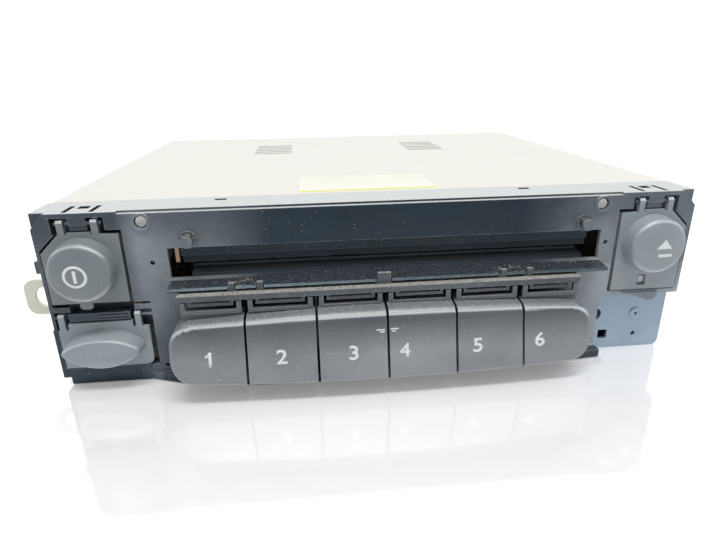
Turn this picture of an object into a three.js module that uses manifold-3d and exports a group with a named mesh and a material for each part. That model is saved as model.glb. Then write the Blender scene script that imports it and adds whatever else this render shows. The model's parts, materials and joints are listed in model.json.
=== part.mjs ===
// Car radio with a disc slot, standing without its outer trim.
// Lengths are millimetres, +Z is up, the keys face -Y, and the origin is
// the middle of the underside of the steel case.

import * as THREE from 'three';
import { mergeVertices } from 'three/addons/utils/BufferGeometryUtils.js';
import Module from 'manifold-3d';

const wasm = await Module();
wasm.setup();

// Fits and tolerances
const fitGap = 0.3;
const overrun = 1;
const weld = 0.0001;
const roundSides = 20;
const smallSides = 10;
const arcSteps = 6;

// Steel case, the standard single-height car radio size
const caseWidth = 178;
const caseHeight = 50;
const caseDepth = 156;
const sheet = 1;
const coverLipDrop = 7;
const coverLipInset = 12;
const ventLength = 16;
const ventWidth = 2;
const ventPitch = 5;
const ventRows = 6;
const ventCentreX = 34;
const ventStartY = 20;
const sideVentLength = 9;
const sideVentHeight = 2.4;
const sideVentPitch = 14;
const sideVentCount = 6;
const sideVentLevel = 34;
const spacerRadius = 2.5;
const pillarRadius = 3;

// Front moulding, measured back from the face of its plate and down from its top
const frameOverhang = 2;
const frameFootRise = 2.5;
const plateThickness = 1.3;
const wallThickness = 1.2;
const flangeDepth = 13.4;
const flangeThickness = 1.2;
const cornerRun = 4;
const cornerDrop = 4.3;
const cornerDepth = 1.6;
const wallStepDrop = 32.7;
const wallStepWidth = 0.4;
const cutawayWidth = 24.6;
const cutawayDrop = 31.3;
const bayDepth = 3.6;
const trayWall = 1;
const bayWidth = 22.7;
const lowerBayWidth = 27;
const bayTopDrop = 4.7;
const powerBayDrop = 25.2;
const lowerBayDrop = 44.8;
const ejectBayDrop = 30;
const flangeSlotX = 43.8;
const flangeSlotLength = 3.3;
const flangeSlotWidth = 1.8;
const flangeSlotDepth = 10.6;
const tongueHalf = 3.4;
const slitWidth = 1.3;
const slitLength = 8.5;
const latchWindowWidth = 3;
const latchWindowDepth = 2.9;
const latchWindowStart = 5.2;
const flangeStepOffset = 0.7;
const flangeStepDepth = 1.5;
const flangeStepDrop = 0.6;
const lugReach = 2.6;
const lugStart = 3.8;
const lugNose = 1.2;
const lugLength = 4.4;
const lugTopDrop = 13.8;
const lugHeight = 3.4;
const screwHoleOffset = 5.2;
const screwHoleDrop = 2.9;
const screwHoleRadius = 1.7;
const screwRimRadius = 2.4;
const screwRimReach = 0.4;
const pinholeRadius = 0.7;
const pinholeLeftOffset = 6.6;
const pinholeRightOffset = 2.8;
const pinholeDrop = 14.3;
const footPinholeOffset = 1.9;
const footPinholeRise = 2.1;
const lipThickness = 2.4;
const lipReach = 8.6;
const lipEndReach = 4;
const lipBowShare = 0.8;
const boardBossRadius = 1.8;
const tornTabWidth = 10.8;
const tornTabOffset = 4.9;
const tornTabDrop = 33.2;
const tornTabReach = 1;

// Disc slot, whose middle lies a little to the right of the frame's middle
const slotLeftMargin = 10.8;
const slotRightMargin = 4.6;
const slotTopDrop = 10.4;
const slotBottomDrop = 19.1;
const ledgeReach = 6;
const ledgeEdgeDrop = 19.8;
const ledgeThickness = 1;
const postInset = 5.9;
const postDrop = 8;
const postRadius = 1.6;
const postReach = 3.6;
const postFootRadius = 2.3;
const postFootReach = 1.2;
const guideFloorDrop = 18.8;
const guideFloorLeftInset = 5;
const guideFloorRightInset = 3.2;
const guideFloorDepth = 7;
const guideFloorThickness = 1;
const guideRampRun = 2.6;
const guideRampRise = 0.6;
const guideLipDrop = 13.7;
const guideLipStep = 0.6;
const guideLipThickness = 1.2;
const guideInset = 2.6;
const guideRoofDepth = 7;
const guideRoofDrop = 9.2;
const leafWidth = 1.1;
const leafThickness = 0.4;
const leafTopDrop = 7.6;
const leafBottomDrop = 15.4;

// Preset keys
const keyCount = 6;
const keyEndExtra = 1.35;
const keyGap = 0.7;
const rowInset = 3;
const rowTopDrop = 25.1;
const rowBottomDrop = 44.9;
const rowTopCrown = 2.5;
const rowBottomCrown = 0.9;
const rowCornerRadius = 6.5;
const capBackReach = 4.2;
const capFrontReach = 11.4;
const capTiltShare = 0.24;
const capTopSlopeShare = 0.22;
const capBow = 1.3;
const capEdge = 1.5;
const capEdgeSteps = 3;
const rowCurveSegments = 8;
const capWall = 1.5;
const hingeReach = 8.1;
const hingeDrop = 22.8;
const railInset = 2.8;
const railTopDrop = 21.1;
const railFrontReach = 8.7;
const railBackReach = 0.3;
const legWidth = 1.25;
const legThickness = 1.2;
const webThickness = 0.7;
const teeGap = 1.7;
const windowBottomDrop = 25.3;
const windowBarThickness = 0.9;
const keyFrameInset = 0.7;
const ribReach = 8.2;
const ribThickness = 0.8;
const ribInset = 0.8;
const ribBottomDrop = 24.2;
const hookWidth = 1.5;
const hookThickness = 1;
const hookTopDrop = 18.7;
const hookInnerOffset = 4.2;
const hookOuterOffset = 3.3;
const catchWidth = 3.2;
const catchReach = 5.2;
const catchDepth = 2.4;
const catchRise = 0.2;
const centreHookWidth = 3.5;
const centreHookTopDrop = 17.9;
const pusherRadius = 1.3;
const keyPusherDrop = 38;
const keyWindowSize = 6;

// Hinged buttons beside the slot
const buttonInset = 12;
const buttonDrop = 14.9;
const flapInnerGap = 0.8;
const flapOuterGap = 0.5;
const flapTopDrop = 5.7;
const flapShoulderRun = 4.9;
const flapShoulderDrop = 10.4;
const powerFlapDrop = 24.8;
const ejectFlapDrop = 29.5;
const flapThickness = 1.3;
const flapProud = 0.4;
const flapTabWidth = 5.9;
const flapTabRise = 0.6;
const domeRadius = 8.6;
const domeRimRadius = 8.2;
const domeShoulderReach = 4.2;
const domeReach = 6.2;
const domeEdge = 1.6;
const domeEdgeSteps = 3;
const domeCrown = 0.9;
const domeSides = 32;
const domeWall = 1.8;
const armSpacing = 8.5;
const armNotchHalf = 6.7;
const armWidth = 1.6;
const flapHingeDrop = 2.8;
const flapHingeBack = 0.8;
const eyeRadius = 1.25;
const eyeBore = 0.85;
const hingePinRadius = 0.5;
const hingeBarWidth = 4.4;
const hingeBarTopDrop = 0.9;
const hingeBarHeight = 2.3;
const hingeBarThickness = 1.4;
const hingeBarFootDrop = 4.7;
const hingeBarSetback = 0.5;
const stopTabOffset = 1.6;
const stopTabWidth = 3.3;
const stopTabDrop = 26.6;
const flapWindowOffset = 0.5;
const flapWindowWidth = 2.6;
const flapWindowTopDrop = 24.9;
const flapWindowHeight = 3.3;

// Lower left button, an oval on a shorter flap
const lowerInset = 13.3;
const lowerDrop = 37.7;
const lowerHalfWidth = 10.9;
const lowerHalfHeight = 5.2;
const lowerEdge = 1;
const lowerTipShare = 0.35;
const lowerTopSlopeShare = 0.3;
const lowerTabRise = 1.9;
const lowerFlapOuterGap = 0.4;
const lowerFlapInnerGap = 1.3;
const lowerFlapCorner = 2.4;
const lowerFlapTopDrop = 32.6;
const lowerFlapBottomDrop = 44.4;
const lowerHingeDrop = 29.1;
const lowerArmInset = 1.3;
const lowerArmInnerInset = 2.6;
const hingeRailHeight = 2.2;
const hingeRailTopDrop = 28;
const hingeRailGap = 1.2;
const hingeRailGroove = 0.45;
const hingeBlockTopDrop = 26;
const hingeBlockHeight = 1.4;
const hingeBlockWidth = 4.4;

// Key board and its switches
const switchSize = 6;
const switchBodyDepth = 2.2;
const switchHeight = 3.5;
const plungerRadius = 1.6;
const boardBack = 8;
const boardThickness = 1.6;
const boardInset = 4.5;
const boardFootReach = 0.5;
const boardTopDrop = 21.8;
const boardWingDrop = 3;
const boardWingInset = 5;
const pressTravel = 0.8;

// Side ear that screws to the dashboard
const earReach = 14.1;
const earHeight = 10.8;
const earTopDrop = 22.6;
const earThickness = 1.2;
const earFootLength = 22;
const earCorner = 3;
const earHoleRadius = 3.2;
const earHoleInset = 5.9;

// Holes and pressings in the bare lower right corner of the case front
const pressedEyeDrop = 38;
const pressedEyeRadius = 3.1;
const pressedEyeBore = 2.1;
const squareHoleOffset = 3.7;
const squareHoleDrop = 45.2;
const squareHoleSize = 3;
const diamondHoleOffset = 13.9;
const diamondHoleDrop = 45.5;
const diamondHoleRadius = 0.9;
const pressedRingOffset = 13.4;
const pressedRingDrop = 38.4;
const pressedRingRadius = 1.8;
const pressedRingReach = 0.4;
const pressedRingEye = 0.5;
const caseCorner = 2;

// Disc drive, measured from the spindle and from the plane of the disc
const spindleDepth = 70;
const discDrop = 16.5;
const deckDrop = 12.5;
const deckSideReach = 2.4;
const deckFrontY = 56;
const deckBackGap = 9.6;
const deckOpeningWidth = 36;
const deckOpeningStart = 13;
const deckOpeningBackGap = 9;
const damperInset = 9;
const damperFrontY = 42;
const damperBackInset = 20;
const damperRadius = 5;
const damperWaist = 3.6;
const damperHeight = 5.4;
const spindleMotorRadius = 11;
const spindleMotorHeight = 8;
const spindleBore = 1.3;
const spindleRadius = 1;
const platterRadius = 13;
const platterThickness = 2.4;
const platterDrop = 0.6;
const hubRadius = 7.2;
const hubRise = 1.6;
const sledFront = 13;
const sledLength = 22;
const sledLeft = 25;
const sledRight = 33;
const sledThickness = 6;
const sledDrop = 3.6;
const rodX = 20;
const rodRadius = 1.5;
const rodBore = 1.8;
const rodFront = 10;
const rodBackInset = 5;
const rodDrop = 6.6;
const rodLugWidth = 5;
const rodLugThickness = 1.4;
const screwX = 28.6;
const lensRadius = 2.6;
const lensHeight = 1.4;
const sledMotorRadius = 4.6;
const sledMotorLength = 18;
const rollerY = 54;
const rollerRadius = 4;
const rollerWaist = 3.3;
const rollerEndGap = 9;
const rollerShaftRadius = 1.5;
const rollerShaftReach = 5.4;
const bracketInset = 4;
const bracketWidth = 8;
const rollerPulleyRadius = 4.6;
const motorPulleyRadius = 2.6;
const pulleyWidth = 2;
const pulleyOffset = 3.6;
const beltThickness = 1;
const loadMotorY = 39.6;
const loadMotorRadius = 5;
const loadMotorLength = 20;
const clampHeight = 5.2;
const clampHingeInset = 7;
const clampHingeRise = 4;
const clampWidth = 26;
const clampNoseWidth = 16;
const clampEyeRadius = 2.4;
const clampPinRadius = 1;
const clampPinBore = 1.3;
const puckRadius = 12;
const puckThickness = 2.2;
const puckStemRadius = 2.2;
const puckHeadRadius = 4;
const puckHeadThickness = 0.8;

// Electronics
const mainBoardLevel = 5;
const mainBoardInset = 5;
const mainBoardSetback = 16;
const tunerWidth = 34;
const tunerLength = 40;
const tunerHeight = 9;
const tunerInset = 3;
const tunerY = 0;
const canFold = 1.2;
const capacitorRadius = 6.5;
const capacitorHeight = 22;
const capacitorInset = 1.5;
const capacitorY = 36;
const ampWidth = 20;
const ampThickness = 4.4;
const ampHeight = 14;
const ampOffset = 4;
const ampLegs = 9;
const ampLegSize = 0.8;
const ampLegDepth = 1.4;
const connectorWidth = 34;
const connectorHeight = 27;
const connectorBack = 10;
const connectorFront = 6;
const connectorInset = 10;
const socketWidth = 28;
const socketHeight = 10;
const socketDepth = 11;
const socketPins = 4;
const socketPinSize = 1.2;
const socketPinLength = 5;
const aerialPitch = 19;
const aerialLevel = 30;
const aerialRadius = 6;
const aerialBore = 4.4;
const aerialLength = 12;
const aerialFlange = 7.5;
const aerialContact = 1.2;
const sinkWidth = 50;
const sinkMargin = 4;
const sinkInset = 6;
const sinkBase = 3;
const sinkFinHeight = 9;
const sinkFins = 9;
const sinkFinThickness = 1.8;

// Values worked out from the sizes above
const caseFront = -caseDepth / 2;
const caseBack = caseDepth / 2;
const plateFront = caseFront - fitGap - plateThickness;
const sheetFront = plateThickness + fitGap;
const sheetBack = sheetFront + sheet;
const frameHalf = caseWidth / 2 + frameOverhang;
const frameHeight = caseHeight - frameFootRise;
const wallInnerX = frameHalf - wallThickness;
const bayInnerX = frameHalf - bayWidth;
const lowerBayInnerX = frameHalf - lowerBayWidth;
const cutawayX = frameHalf - cutawayWidth;
const screwHoleX = bayInnerX - screwHoleOffset;
const slotLeft = slotLeftMargin - bayInnerX;
const slotRight = bayInnerX - slotRightMargin;
const slotCentreX = (slotLeft + slotRight) / 2;
const rowWidth = slotRight - slotLeft - rowInset * 2;
const keyPitch = (rowWidth - keyEndExtra * 2) / keyCount;
const railHalfWidth = rowWidth / 2 - railInset;
const frameOuterX = railHalfWidth - keyFrameInset;
const hookInnerX = keyPitch * 2 - hookInnerOffset;
const hookOuterX = keyPitch * 2 + hookOuterOffset;
const buttonX = frameHalf - buttonInset;
const flapInnerX = bayInnerX + flapInnerGap;
const flapOuterX = wallInnerX - flapOuterGap;
const lowerX = frameHalf - lowerInset;
const lowerFlapOuterX = wallInnerX - lowerFlapOuterGap;
const lowerFlapInnerX = lowerBayInnerX + lowerFlapInnerGap;
const lowerArmOuterX = lowerFlapOuterX - lowerArmInset;
const lowerArmInnerX = lowerFlapInnerX + lowerArmInnerInset;
const boardHalfWidth = frameHalf - boardInset;
const trayBack = bayDepth + trayWall;
const switchFront = boardBack - fitGap - switchHeight;
const pusherEnd = switchFront - fitGap - pressTravel;
const discPlane = caseHeight - discDrop;
const deckLevel = -deckDrop;
const deckTop = deckLevel + sheet;
const coverLevel = caseHeight - sheet;
const deckHalfWidth = (slotRight - slotLeft) / 2 + deckSideReach;
const deckBackY = caseBack - deckBackGap - plateFront - spindleDepth;
const rodBack = deckBackY - rodBackInset;
const clampHingeY = deckBackY - clampHingeInset;
const bracketX = deckHalfWidth - bracketInset;
const pulleyX = bracketX + pulleyOffset;
const mainBoardHalf = caseWidth / 2 - mainBoardInset;
const mainBoardBack = caseBack - sheet - fitGap;
const connectorX = connectorInset + (connectorWidth - caseWidth) / 2;
const aerialX = connectorX + connectorWidth / 2 + aerialPitch;
const sinkHeight = caseHeight - sinkMargin * 2;
const sinkX = (caseWidth - sinkWidth) / 2 - sinkInset;
const boardTop = mainBoardLevel + boardThickness;
const connectorLevel = boardTop + fitGap + connectorHeight / 2;

// Shape helpers: outlines are extruded along one axis, and solids joined or cut

function toSolid(geometry) {
  const bare = geometry.clone();
  bare.deleteAttribute('normal');
  bare.deleteAttribute('uv');
  const merged = mergeVertices(bare, weld);
  const mesh = new wasm.Mesh({
    numProp: 3,
    vertProperties: new Float32Array(merged.attributes.position.array),
    triVerts: new Uint32Array(merged.index.array),
  });
  return new wasm.Manifold(mesh);
}

function toGeometry(solid) {
  const mesh = solid.getMesh();
  const geometry = new THREE.BufferGeometry();
  geometry.setAttribute('position', new THREE.BufferAttribute(mesh.vertProperties, 3));
  geometry.setIndex(new THREE.BufferAttribute(mesh.triVerts, 1));
  const faceted = geometry.toNonIndexed();
  faceted.computeVertexNormals();
  return faceted;
}

function join(...solids) {
  return solids.flat().reduce((whole, next) => whole.add(next));
}

function cut(solid, ...cutters) {
  return cutters.flat().reduce((rest, cutter) => rest.subtract(cutter), solid);
}

function box(x0, x1, y0, y1, z0, z1) {
  const geometry = new THREE.BoxGeometry(x1 - x0, y1 - y0, z1 - z0);
  geometry.translate((x0 + x1) / 2, (y0 + y1) / 2, (z0 + z1) / 2);
  return toSolid(geometry);
}

function outline(points) {
  return new THREE.Shape(points.map(([u, v]) => new THREE.Vector2(u, v)));
}

function extrude(shape, length, options = {}) {
  return new THREE.ExtrudeGeometry(shape, {
    depth: length, bevelEnabled: false, curveSegments: arcSteps, ...options,
  });
}

// The outline lies in x and z, and y runs from y0 to y1
function prismY(shape, y0, y1) {
  const geometry = extrude(shape, y1 - y0);
  geometry.rotateX(Math.PI / 2);
  geometry.translate(0, y1, 0);
  return toSolid(geometry);
}

// The outline lies in y and z, and x runs from x0 to x1
function prismX(shape, x0, x1) {
  const geometry = extrude(shape, x1 - x0);
  const turn = new THREE.Matrix4().makeBasis(
    new THREE.Vector3(0, 1, 0), new THREE.Vector3(0, 0, 1), new THREE.Vector3(1, 0, 0));
  geometry.applyMatrix4(turn);
  geometry.translate(x0, 0, 0);
  return toSolid(geometry);
}

// The outline lies in x and y, and z runs from z0 to z1
function prismZ(shape, z0, z1) {
  const geometry = extrude(shape, z1 - z0);
  geometry.translate(0, 0, z0);
  return toSolid(geometry);
}

function rodAlongX(radius, x0, x1, y, z, sides = smallSides) {
  const geometry = new THREE.CylinderGeometry(radius, radius, x1 - x0, sides);
  geometry.rotateZ(Math.PI / 2);
  geometry.translate((x0 + x1) / 2, y, z);
  return toSolid(geometry);
}

function rodAlongY(radius, y0, y1, x, z, sides = smallSides) {
  const geometry = new THREE.CylinderGeometry(radius, radius, y1 - y0, sides);
  geometry.translate(x, (y0 + y1) / 2, z);
  return toSolid(geometry);
}

function rodAlongZ(radius, z0, z1, x, y, sides = smallSides) {
  const geometry = new THREE.CylinderGeometry(radius, radius, z1 - z0, sides);
  geometry.rotateX(Math.PI / 2);
  geometry.translate(x, y, (z0 + z1) / 2);
  return toSolid(geometry);
}

// A turned shape about Z: the profile lists radius and height, from the bottom up
function turnedAboutZ(profile, sides = roundSides) {
  const points = profile.map(([radius, height]) => new THREE.Vector2(radius, height));
  const geometry = new THREE.LatheGeometry(points, sides);
  geometry.rotateX(Math.PI / 2);
  return toSolid(geometry);
}

function roundedRectangle(x0, x1, z0, z1, radius) {
  const shape = new THREE.Shape();
  shape.moveTo(x0 + radius, z0);
  shape.lineTo(x1 - radius, z0);
  shape.absarc(x1 - radius, z0 + radius, radius, -Math.PI / 2, 0);
  shape.lineTo(x1, z1 - radius);
  shape.absarc(x1 - radius, z1 - radius, radius, 0, Math.PI / 2);
  shape.lineTo(x0 + radius, z1);
  shape.absarc(x0 + radius, z1 - radius, radius, Math.PI / 2, Math.PI);
  shape.lineTo(x0, z0 + radius);
  shape.absarc(x0 + radius, z0 + radius, radius, Math.PI, Math.PI * 3 / 2);
  return shape;
}

// Materials

const finishes = {
  blackPlastic: { color: 0x33383b, roughness: 0.4, metalness: 0 },
  keyPlastic: { color: 0x585d5f, roughness: 0.55, metalness: 0 },
  darkPlastic: { color: 0x15181b, roughness: 0.6, metalness: 0 },
  zincSteel: { color: 0xb9b7a8, roughness: 0.4, metalness: 0.9 },
  caseFrontSteel: { color: 0x8d979f, roughness: 0.45, metalness: 0.7 },
  bareSteel: { color: 0xa7abae, roughness: 0.3, metalness: 1 },
  aluminium: { color: 0xc4c6c8, roughness: 0.4, metalness: 0.9 },
  bronze: { color: 0xb48363, roughness: 0.35, metalness: 0.9 },
  boardLaminate: { color: 0x2f5a3a, roughness: 0.5, metalness: 0 },
  rubber: { color: 0x1c1c1c, roughness: 0.9, metalness: 0 },
  lensGlass: { color: 0x6f86b5, roughness: 0.1, metalness: 0.1 },
};

function piece(parent, name, solid, finish, position = [0, 0, 0]) {
  const mesh = new THREE.Mesh(toGeometry(solid), new THREE.MeshStandardMaterial(finishes[finish]));
  mesh.name = name;
  mesh.position.set(...position);
  parent.add(mesh);
  return mesh;
}

const radio = new THREE.Group();

// The front group starts at the face of the plate and at the top of the flange
const front = new THREE.Group();
front.position.set(0, plateFront, caseHeight);
radio.add(front);

// The drive group starts on the spindle, in the plane of the disc
const drive = new THREE.Group();
drive.position.set(slotCentreX, plateFront + spindleDepth, discPlane);
radio.add(drive);

const keyCentre = (index) => (index - (keyCount - 1) / 2) * keyPitch;
const keyIndexes = Array.from({ length: keyCount }, (unused, index) => index);

// Switch places, in the front group: [name, x, drop]
const switchPlaces = [
  ...keyIndexes.map((index) => ['switch_key_' + (index + 1), keyCentre(index), keyPusherDrop]),
  ['switch_power', -buttonX, buttonDrop],
  ['switch_lower', -lowerX, lowerDrop],
  ['switch_eject', buttonX, buttonDrop],
];

// Board bosses stand on the backs of the trays, and two on the plate: [x, drop, start]
const bossPlaces = [
  [-flapOuterX + domeRadius / 2, flapTopDrop, trayBack],
  [-bayInnerX - domeRadius / 2, lowerBayDrop - boardBossRadius, trayBack],
  [flapOuterX - domeRadius / 2, ejectBayDrop - boardBossRadius, trayBack],
  [bayInnerX + domeRadius / 2, flapTopDrop, trayBack],
  [-keyPitch * 2, lowerBayDrop, plateThickness],
  [keyPitch * 2, lowerBayDrop, plateThickness],
];

// Blocks that the trays behind the buttons fill, before they are hollowed
const trayBlocks = [
  [-frameHalf, trayWall - bayInnerX, -powerBayDrop, 0],
  [-frameHalf, trayWall - lowerBayInnerX, -lowerBayDrop - trayWall, trayWall - powerBayDrop],
  [bayInnerX - trayWall, frameHalf, -cutawayDrop, 0],
];

function frontFrame() {
  const plate = prismY(outline([
    [-frameHalf, -frameHeight], [cutawayX, -frameHeight], [cutawayX, -cutawayDrop],
    [frameHalf, -cutawayDrop], [frameHalf, 0], [-frameHalf, 0],
  ]), 0, plateThickness);
  const flange = box(-frameHalf, frameHalf, 0, flangeDepth, -flangeThickness, 0);
  const leftWall = box(-frameHalf, -wallInnerX, 0, flangeDepth, -frameHeight, 0);
  const rightWall = box(wallInnerX, frameHalf, 0, flangeDepth, -cutawayDrop, 0);
  const trays = trayBlocks.map(([x0, x1, z0, z1]) => box(x0, x1, 0, trayBack, z0, z1));
  const bays = [
    upperBay(-1, powerBayDrop + overrun), upperBay(1, ejectBayDrop),
    box(-wallInnerX, -lowerBayInnerX, -overrun, bayDepth, -lowerBayDrop, -powerBayDrop),
  ];
  const holes = [
    box(slotLeft, slotRight, -overrun, plateThickness + overrun, -slotBottomDrop, -slotTopDrop),
    ...keyIndexes.map((index) => keyWindow(index)),
    ...switchPlaces.slice(keyCount).map(([, x, drop]) =>
      rodAlongY(plungerRadius + overrun, 0, trayBack + overrun, x, -drop)),
    ...[-screwHoleX, screwHoleX].map((x) =>
      rodAlongY(screwHoleRadius, -overrun, plateThickness + overrun, x, -screwHoleDrop, roundSides)),
    pinhole(pinholeLeftOffset - bayInnerX, pinholeDrop),
    pinhole(bayInnerX - pinholeRightOffset, pinholeDrop),
    pinhole(footPinholeOffset - lowerBayInnerX, frameHeight - footPinholeRise),
  ];
  const rims = [-screwHoleX, screwHoleX].map((x) =>
    rodAlongY(screwRimRadius, -screwRimReach, plateThickness, x, -screwHoleDrop, roundSides));
  const hollowed = cut(join(plate, flange, leftWall, rightWall, trays, rims), bays, holes);
  const dressed = join(hollowed, ledge(), posts(), bottomLip(), lugs(), hingeBars(),
    lowerHinge(), bosses(), tornTab());
  const stepX = bayInnerX + flangeStepOffset;
  const step = box(-stepX, stepX, -overrun, flangeStepDepth, -flangeStepDrop, overrun);
  return cut(dressed, step, cornerCutters(), flangeCutters());
}

// An upper bay follows its flap's outline, with a notch above it for the hinge arms
function upperBay(side, bottomDrop) {
  const x = side * buttonX;
  const opening = prismY(outline([
    [side * bayInnerX, -bottomDrop], [side * wallInnerX, -bottomDrop],
    [side * wallInnerX, flapOuterGap - flapShoulderDrop],
    [side * (flapOuterX - flapShoulderRun), -bayTopDrop], [side * bayInnerX, -bayTopDrop],
  ]), -overrun, bayDepth);
  const notch = box(x - armNotchHalf, x + armNotchHalf, -overrun, bayDepth,
    -bayTopDrop - overrun, -flangeThickness);
  return join(opening, notch);
}

function keyWindow(index) {
  const half = keyWindowSize / 2;
  const x = keyCentre(index);
  return box(x - half, x + half, -overrun, plateThickness + overrun,
    -keyPusherDrop - half, -keyPusherDrop + half);
}

function pinhole(x, drop) {
  return rodAlongY(pinholeRadius, -overrun, plateThickness + overrun, x, -drop);
}

// The shelf under the slot, notched for the hooks of the key rail
function ledge() {
  const nose = ledgeThickness / 2;
  const shelf = prismX(outline([
    [plateThickness / 2, -slotBottomDrop], [0, -slotBottomDrop], [-ledgeReach, -ledgeEdgeDrop],
    [-ledgeReach - nose, -ledgeEdgeDrop - nose], [-ledgeReach, -ledgeEdgeDrop - ledgeThickness],
    [plateThickness / 2, -ledgeEdgeDrop - ledgeThickness],
  ]), slotLeft, slotRight);
  const notches = hookPlaces().map(([x, width]) => {
    const half = width / 2 + fitGap;
    return box(x - half, x + half, -ledgeReach - overrun,
      -ledgeReach + hookThickness, -ledgeEdgeDrop - ledgeThickness - overrun, -slotBottomDrop);
  });
  const catches = [-1, 1].map((side) => {
    const middle = side * (hookInnerX + hookOuterX) / 2;
    return box(middle - catchWidth / 2, middle + catchWidth / 2, -catchReach,
      -catchReach + catchDepth, -ledgeEdgeDrop, -slotBottomDrop + catchRise);
  });
  return cut(join(shelf, catches), notches);
}

function hookPlaces() {
  const pairs = [-hookOuterX, -hookInnerX, hookInnerX, hookOuterX].map((x) => [x, hookWidth]);
  return [...pairs, [0, centreHookWidth]];
}

function posts() {
  return [slotLeft + postInset, slotRight - postInset].map((x) => {
    const pin = rodAlongY(postRadius, -postReach, plateThickness, x, -postDrop, roundSides);
    const foot = rodAlongY(postFootRadius, -postFootReach, plateThickness, x, -postDrop, roundSides);
    return join(pin, foot);
  });
}

// A low lip that bows forward under the keys
function bottomLip() {
  const shape = new THREE.Shape();
  shape.moveTo(-caseWidth / 2, plateThickness);
  shape.lineTo(-caseWidth / 2, 0);
  shape.lineTo(-cutawayX, 0);
  shape.bezierCurveTo(-cutawayX * lipBowShare, -lipReach * 4 / 3, cutawayX * lipBowShare / 2,
    -lipReach, cutawayX, -lipEndReach);
  shape.lineTo(cutawayX, plateThickness);
  const bottom = -caseHeight + fitGap;
  return prismZ(shape, bottom, bottom + lipThickness);
}

// Snap lugs on the outer faces of both side walls
function lugs() {
  return [-1, 1].map((side) => {
    const root = side * (frameHalf - wallThickness / 2);
    const tip = side * (frameHalf + lugReach);
    return prismZ(outline([
      [root, lugStart], [tip, lugStart], [tip, lugStart + lugNose], [root, lugStart + lugLength],
    ]), -lugTopDrop - lugHeight, -lugTopDrop);
  });
}

// Bars with stub pins that carry the two upper flaps
function hingeBars() {
  const back = flapHingeBack - hingeBarThickness / 2;
  const pinHalf = armSpacing / 2 + armWidth;
  return [-buttonX, buttonX].map((x) => join(
    box(x - hingeBarWidth / 2, x + hingeBarWidth / 2, back, back + hingeBarThickness,
      -hingeBarTopDrop - hingeBarHeight, -hingeBarTopDrop),
    box(x - hingeBarWidth / 2, x + hingeBarWidth / 2, back + hingeBarSetback,
      back + hingeBarThickness, -hingeBarFootDrop, -hingeBarTopDrop),
    rodAlongX(hingePinRadius, x - pinHalf, x + pinHalf, flapHingeBack, -flapHingeDrop)));
}

// The grooved rail, blocks and stub pins above the lower button
function lowerHinge() {
  const left = -lowerArmOuterX + armWidth / 2 + hingeRailGap;
  const right = -lowerArmInnerX - armWidth / 2 - hingeRailGap;
  const railBottom = -hingeRailTopDrop - hingeRailHeight;
  const rail = box(left, right, 0, bayDepth + trayWall / 2, railBottom, -hingeRailTopDrop);
  const grooves = [1, 3].map((step) => {
    const z = railBottom + hingeRailHeight * step / 4;
    return box((left + right) / 2, right - hingeRailGroove, -overrun, hingeRailGroove,
      z - hingeRailGroove / 2, z + hingeRailGroove / 2);
  });
  const blockBottom = -hingeBlockTopDrop - hingeBlockHeight;
  const blocks = [
    box(-wallInnerX - wallThickness / 2, -wallInnerX + hingeBlockWidth, 0, bayDepth + trayWall / 2,
      blockBottom, -hingeBlockTopDrop),
    box(-lowerBayInnerX - hingeBlockWidth, -lowerBayInnerX + trayWall / 2, 0,
      bayDepth + trayWall / 2, blockBottom, -hingeBlockTopDrop),
  ];
  const pins = [
    rodAlongX(hingePinRadius, -frameHalf + wallThickness / 2, -lowerArmOuterX + armWidth / 2,
      flapHingeBack, -lowerHingeDrop),
    rodAlongX(hingePinRadius, -lowerArmInnerX - armWidth / 2, -lowerBayInnerX + trayWall / 2,
      flapHingeBack, -lowerHingeDrop),
  ];
  return join(cut(rail, grooves), blocks, pins);
}

function bosses() {
  return bossPlaces.map(([x, drop, start]) =>
    rodAlongY(boardBossRadius, start - trayWall / 2, boardBack - fitGap, x, -drop));
}

// A tongue bent down from the lower edge of the eject bay
function tornTab() {
  const top = -ejectBayDrop - trayWall / 2;
  const left = bayInnerX + tornTabOffset;
  const right = left + tornTabWidth;
  const shape = new THREE.Shape();
  shape.moveTo(left, top);
  shape.quadraticCurveTo(left + tornTabWidth / 3, -cutawayDrop,
    right - tornTabWidth / 4, -tornTabDrop);
  shape.quadraticCurveTo(right, -tornTabDrop, right, top);
  shape.lineTo(left, top);
  return prismY(shape, -tornTabReach, plateThickness / 2);
}

// The top corners are chamfered in front, and the left wall's edge is set in above a step
function cornerCutters() {
  const corners = [-1, 1].map((side) => prismY(outline([
    [side * (frameHalf + overrun), overrun], [side * (frameHalf - cornerRun), overrun],
    [side * (frameHalf - cornerRun), 0], [side * frameHalf, -cornerDrop],
    [side * (frameHalf + overrun), -cornerDrop],
  ]), -overrun, cornerDepth));
  const leftEdge = box(-frameHalf - overrun, wallStepWidth - frameHalf, -overrun, cornerDepth,
    -wallStepDrop, 0);
  return [...corners, leftEdge];
}

// Two slits free a latch tongue with a window over each upper button
function flangeCutters() {
  return [-1, 1].flatMap((side) => {
    const centre = side * buttonX;
    const slits = [-tongueHalf, tongueHalf].map((offset) =>
      box(centre + offset - slitWidth / 2, centre + offset + slitWidth / 2, plateThickness,
        slitLength, -flangeThickness - overrun, overrun));
    const latchWindow = box(centre - latchWindowWidth / 2, centre + latchWindowWidth / 2,
      latchWindowStart, latchWindowStart + latchWindowDepth, -flangeThickness - overrun, overrun);
    const slotX = side * flangeSlotX;
    const slot = box(slotX - flangeSlotLength / 2, slotX + flangeSlotLength / 2,
      flangeSlotDepth - flangeSlotWidth / 2, flangeSlotDepth + flangeSlotWidth / 2,
      -flangeThickness - overrun, overrun);
    return [...slits, latchWindow, slot];
  });
}

piece(front, 'front_frame', frontFrame(), 'blackPlastic');

// Key rail: a strip with a rib behind each key's window and hooks over the ledge

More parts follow.
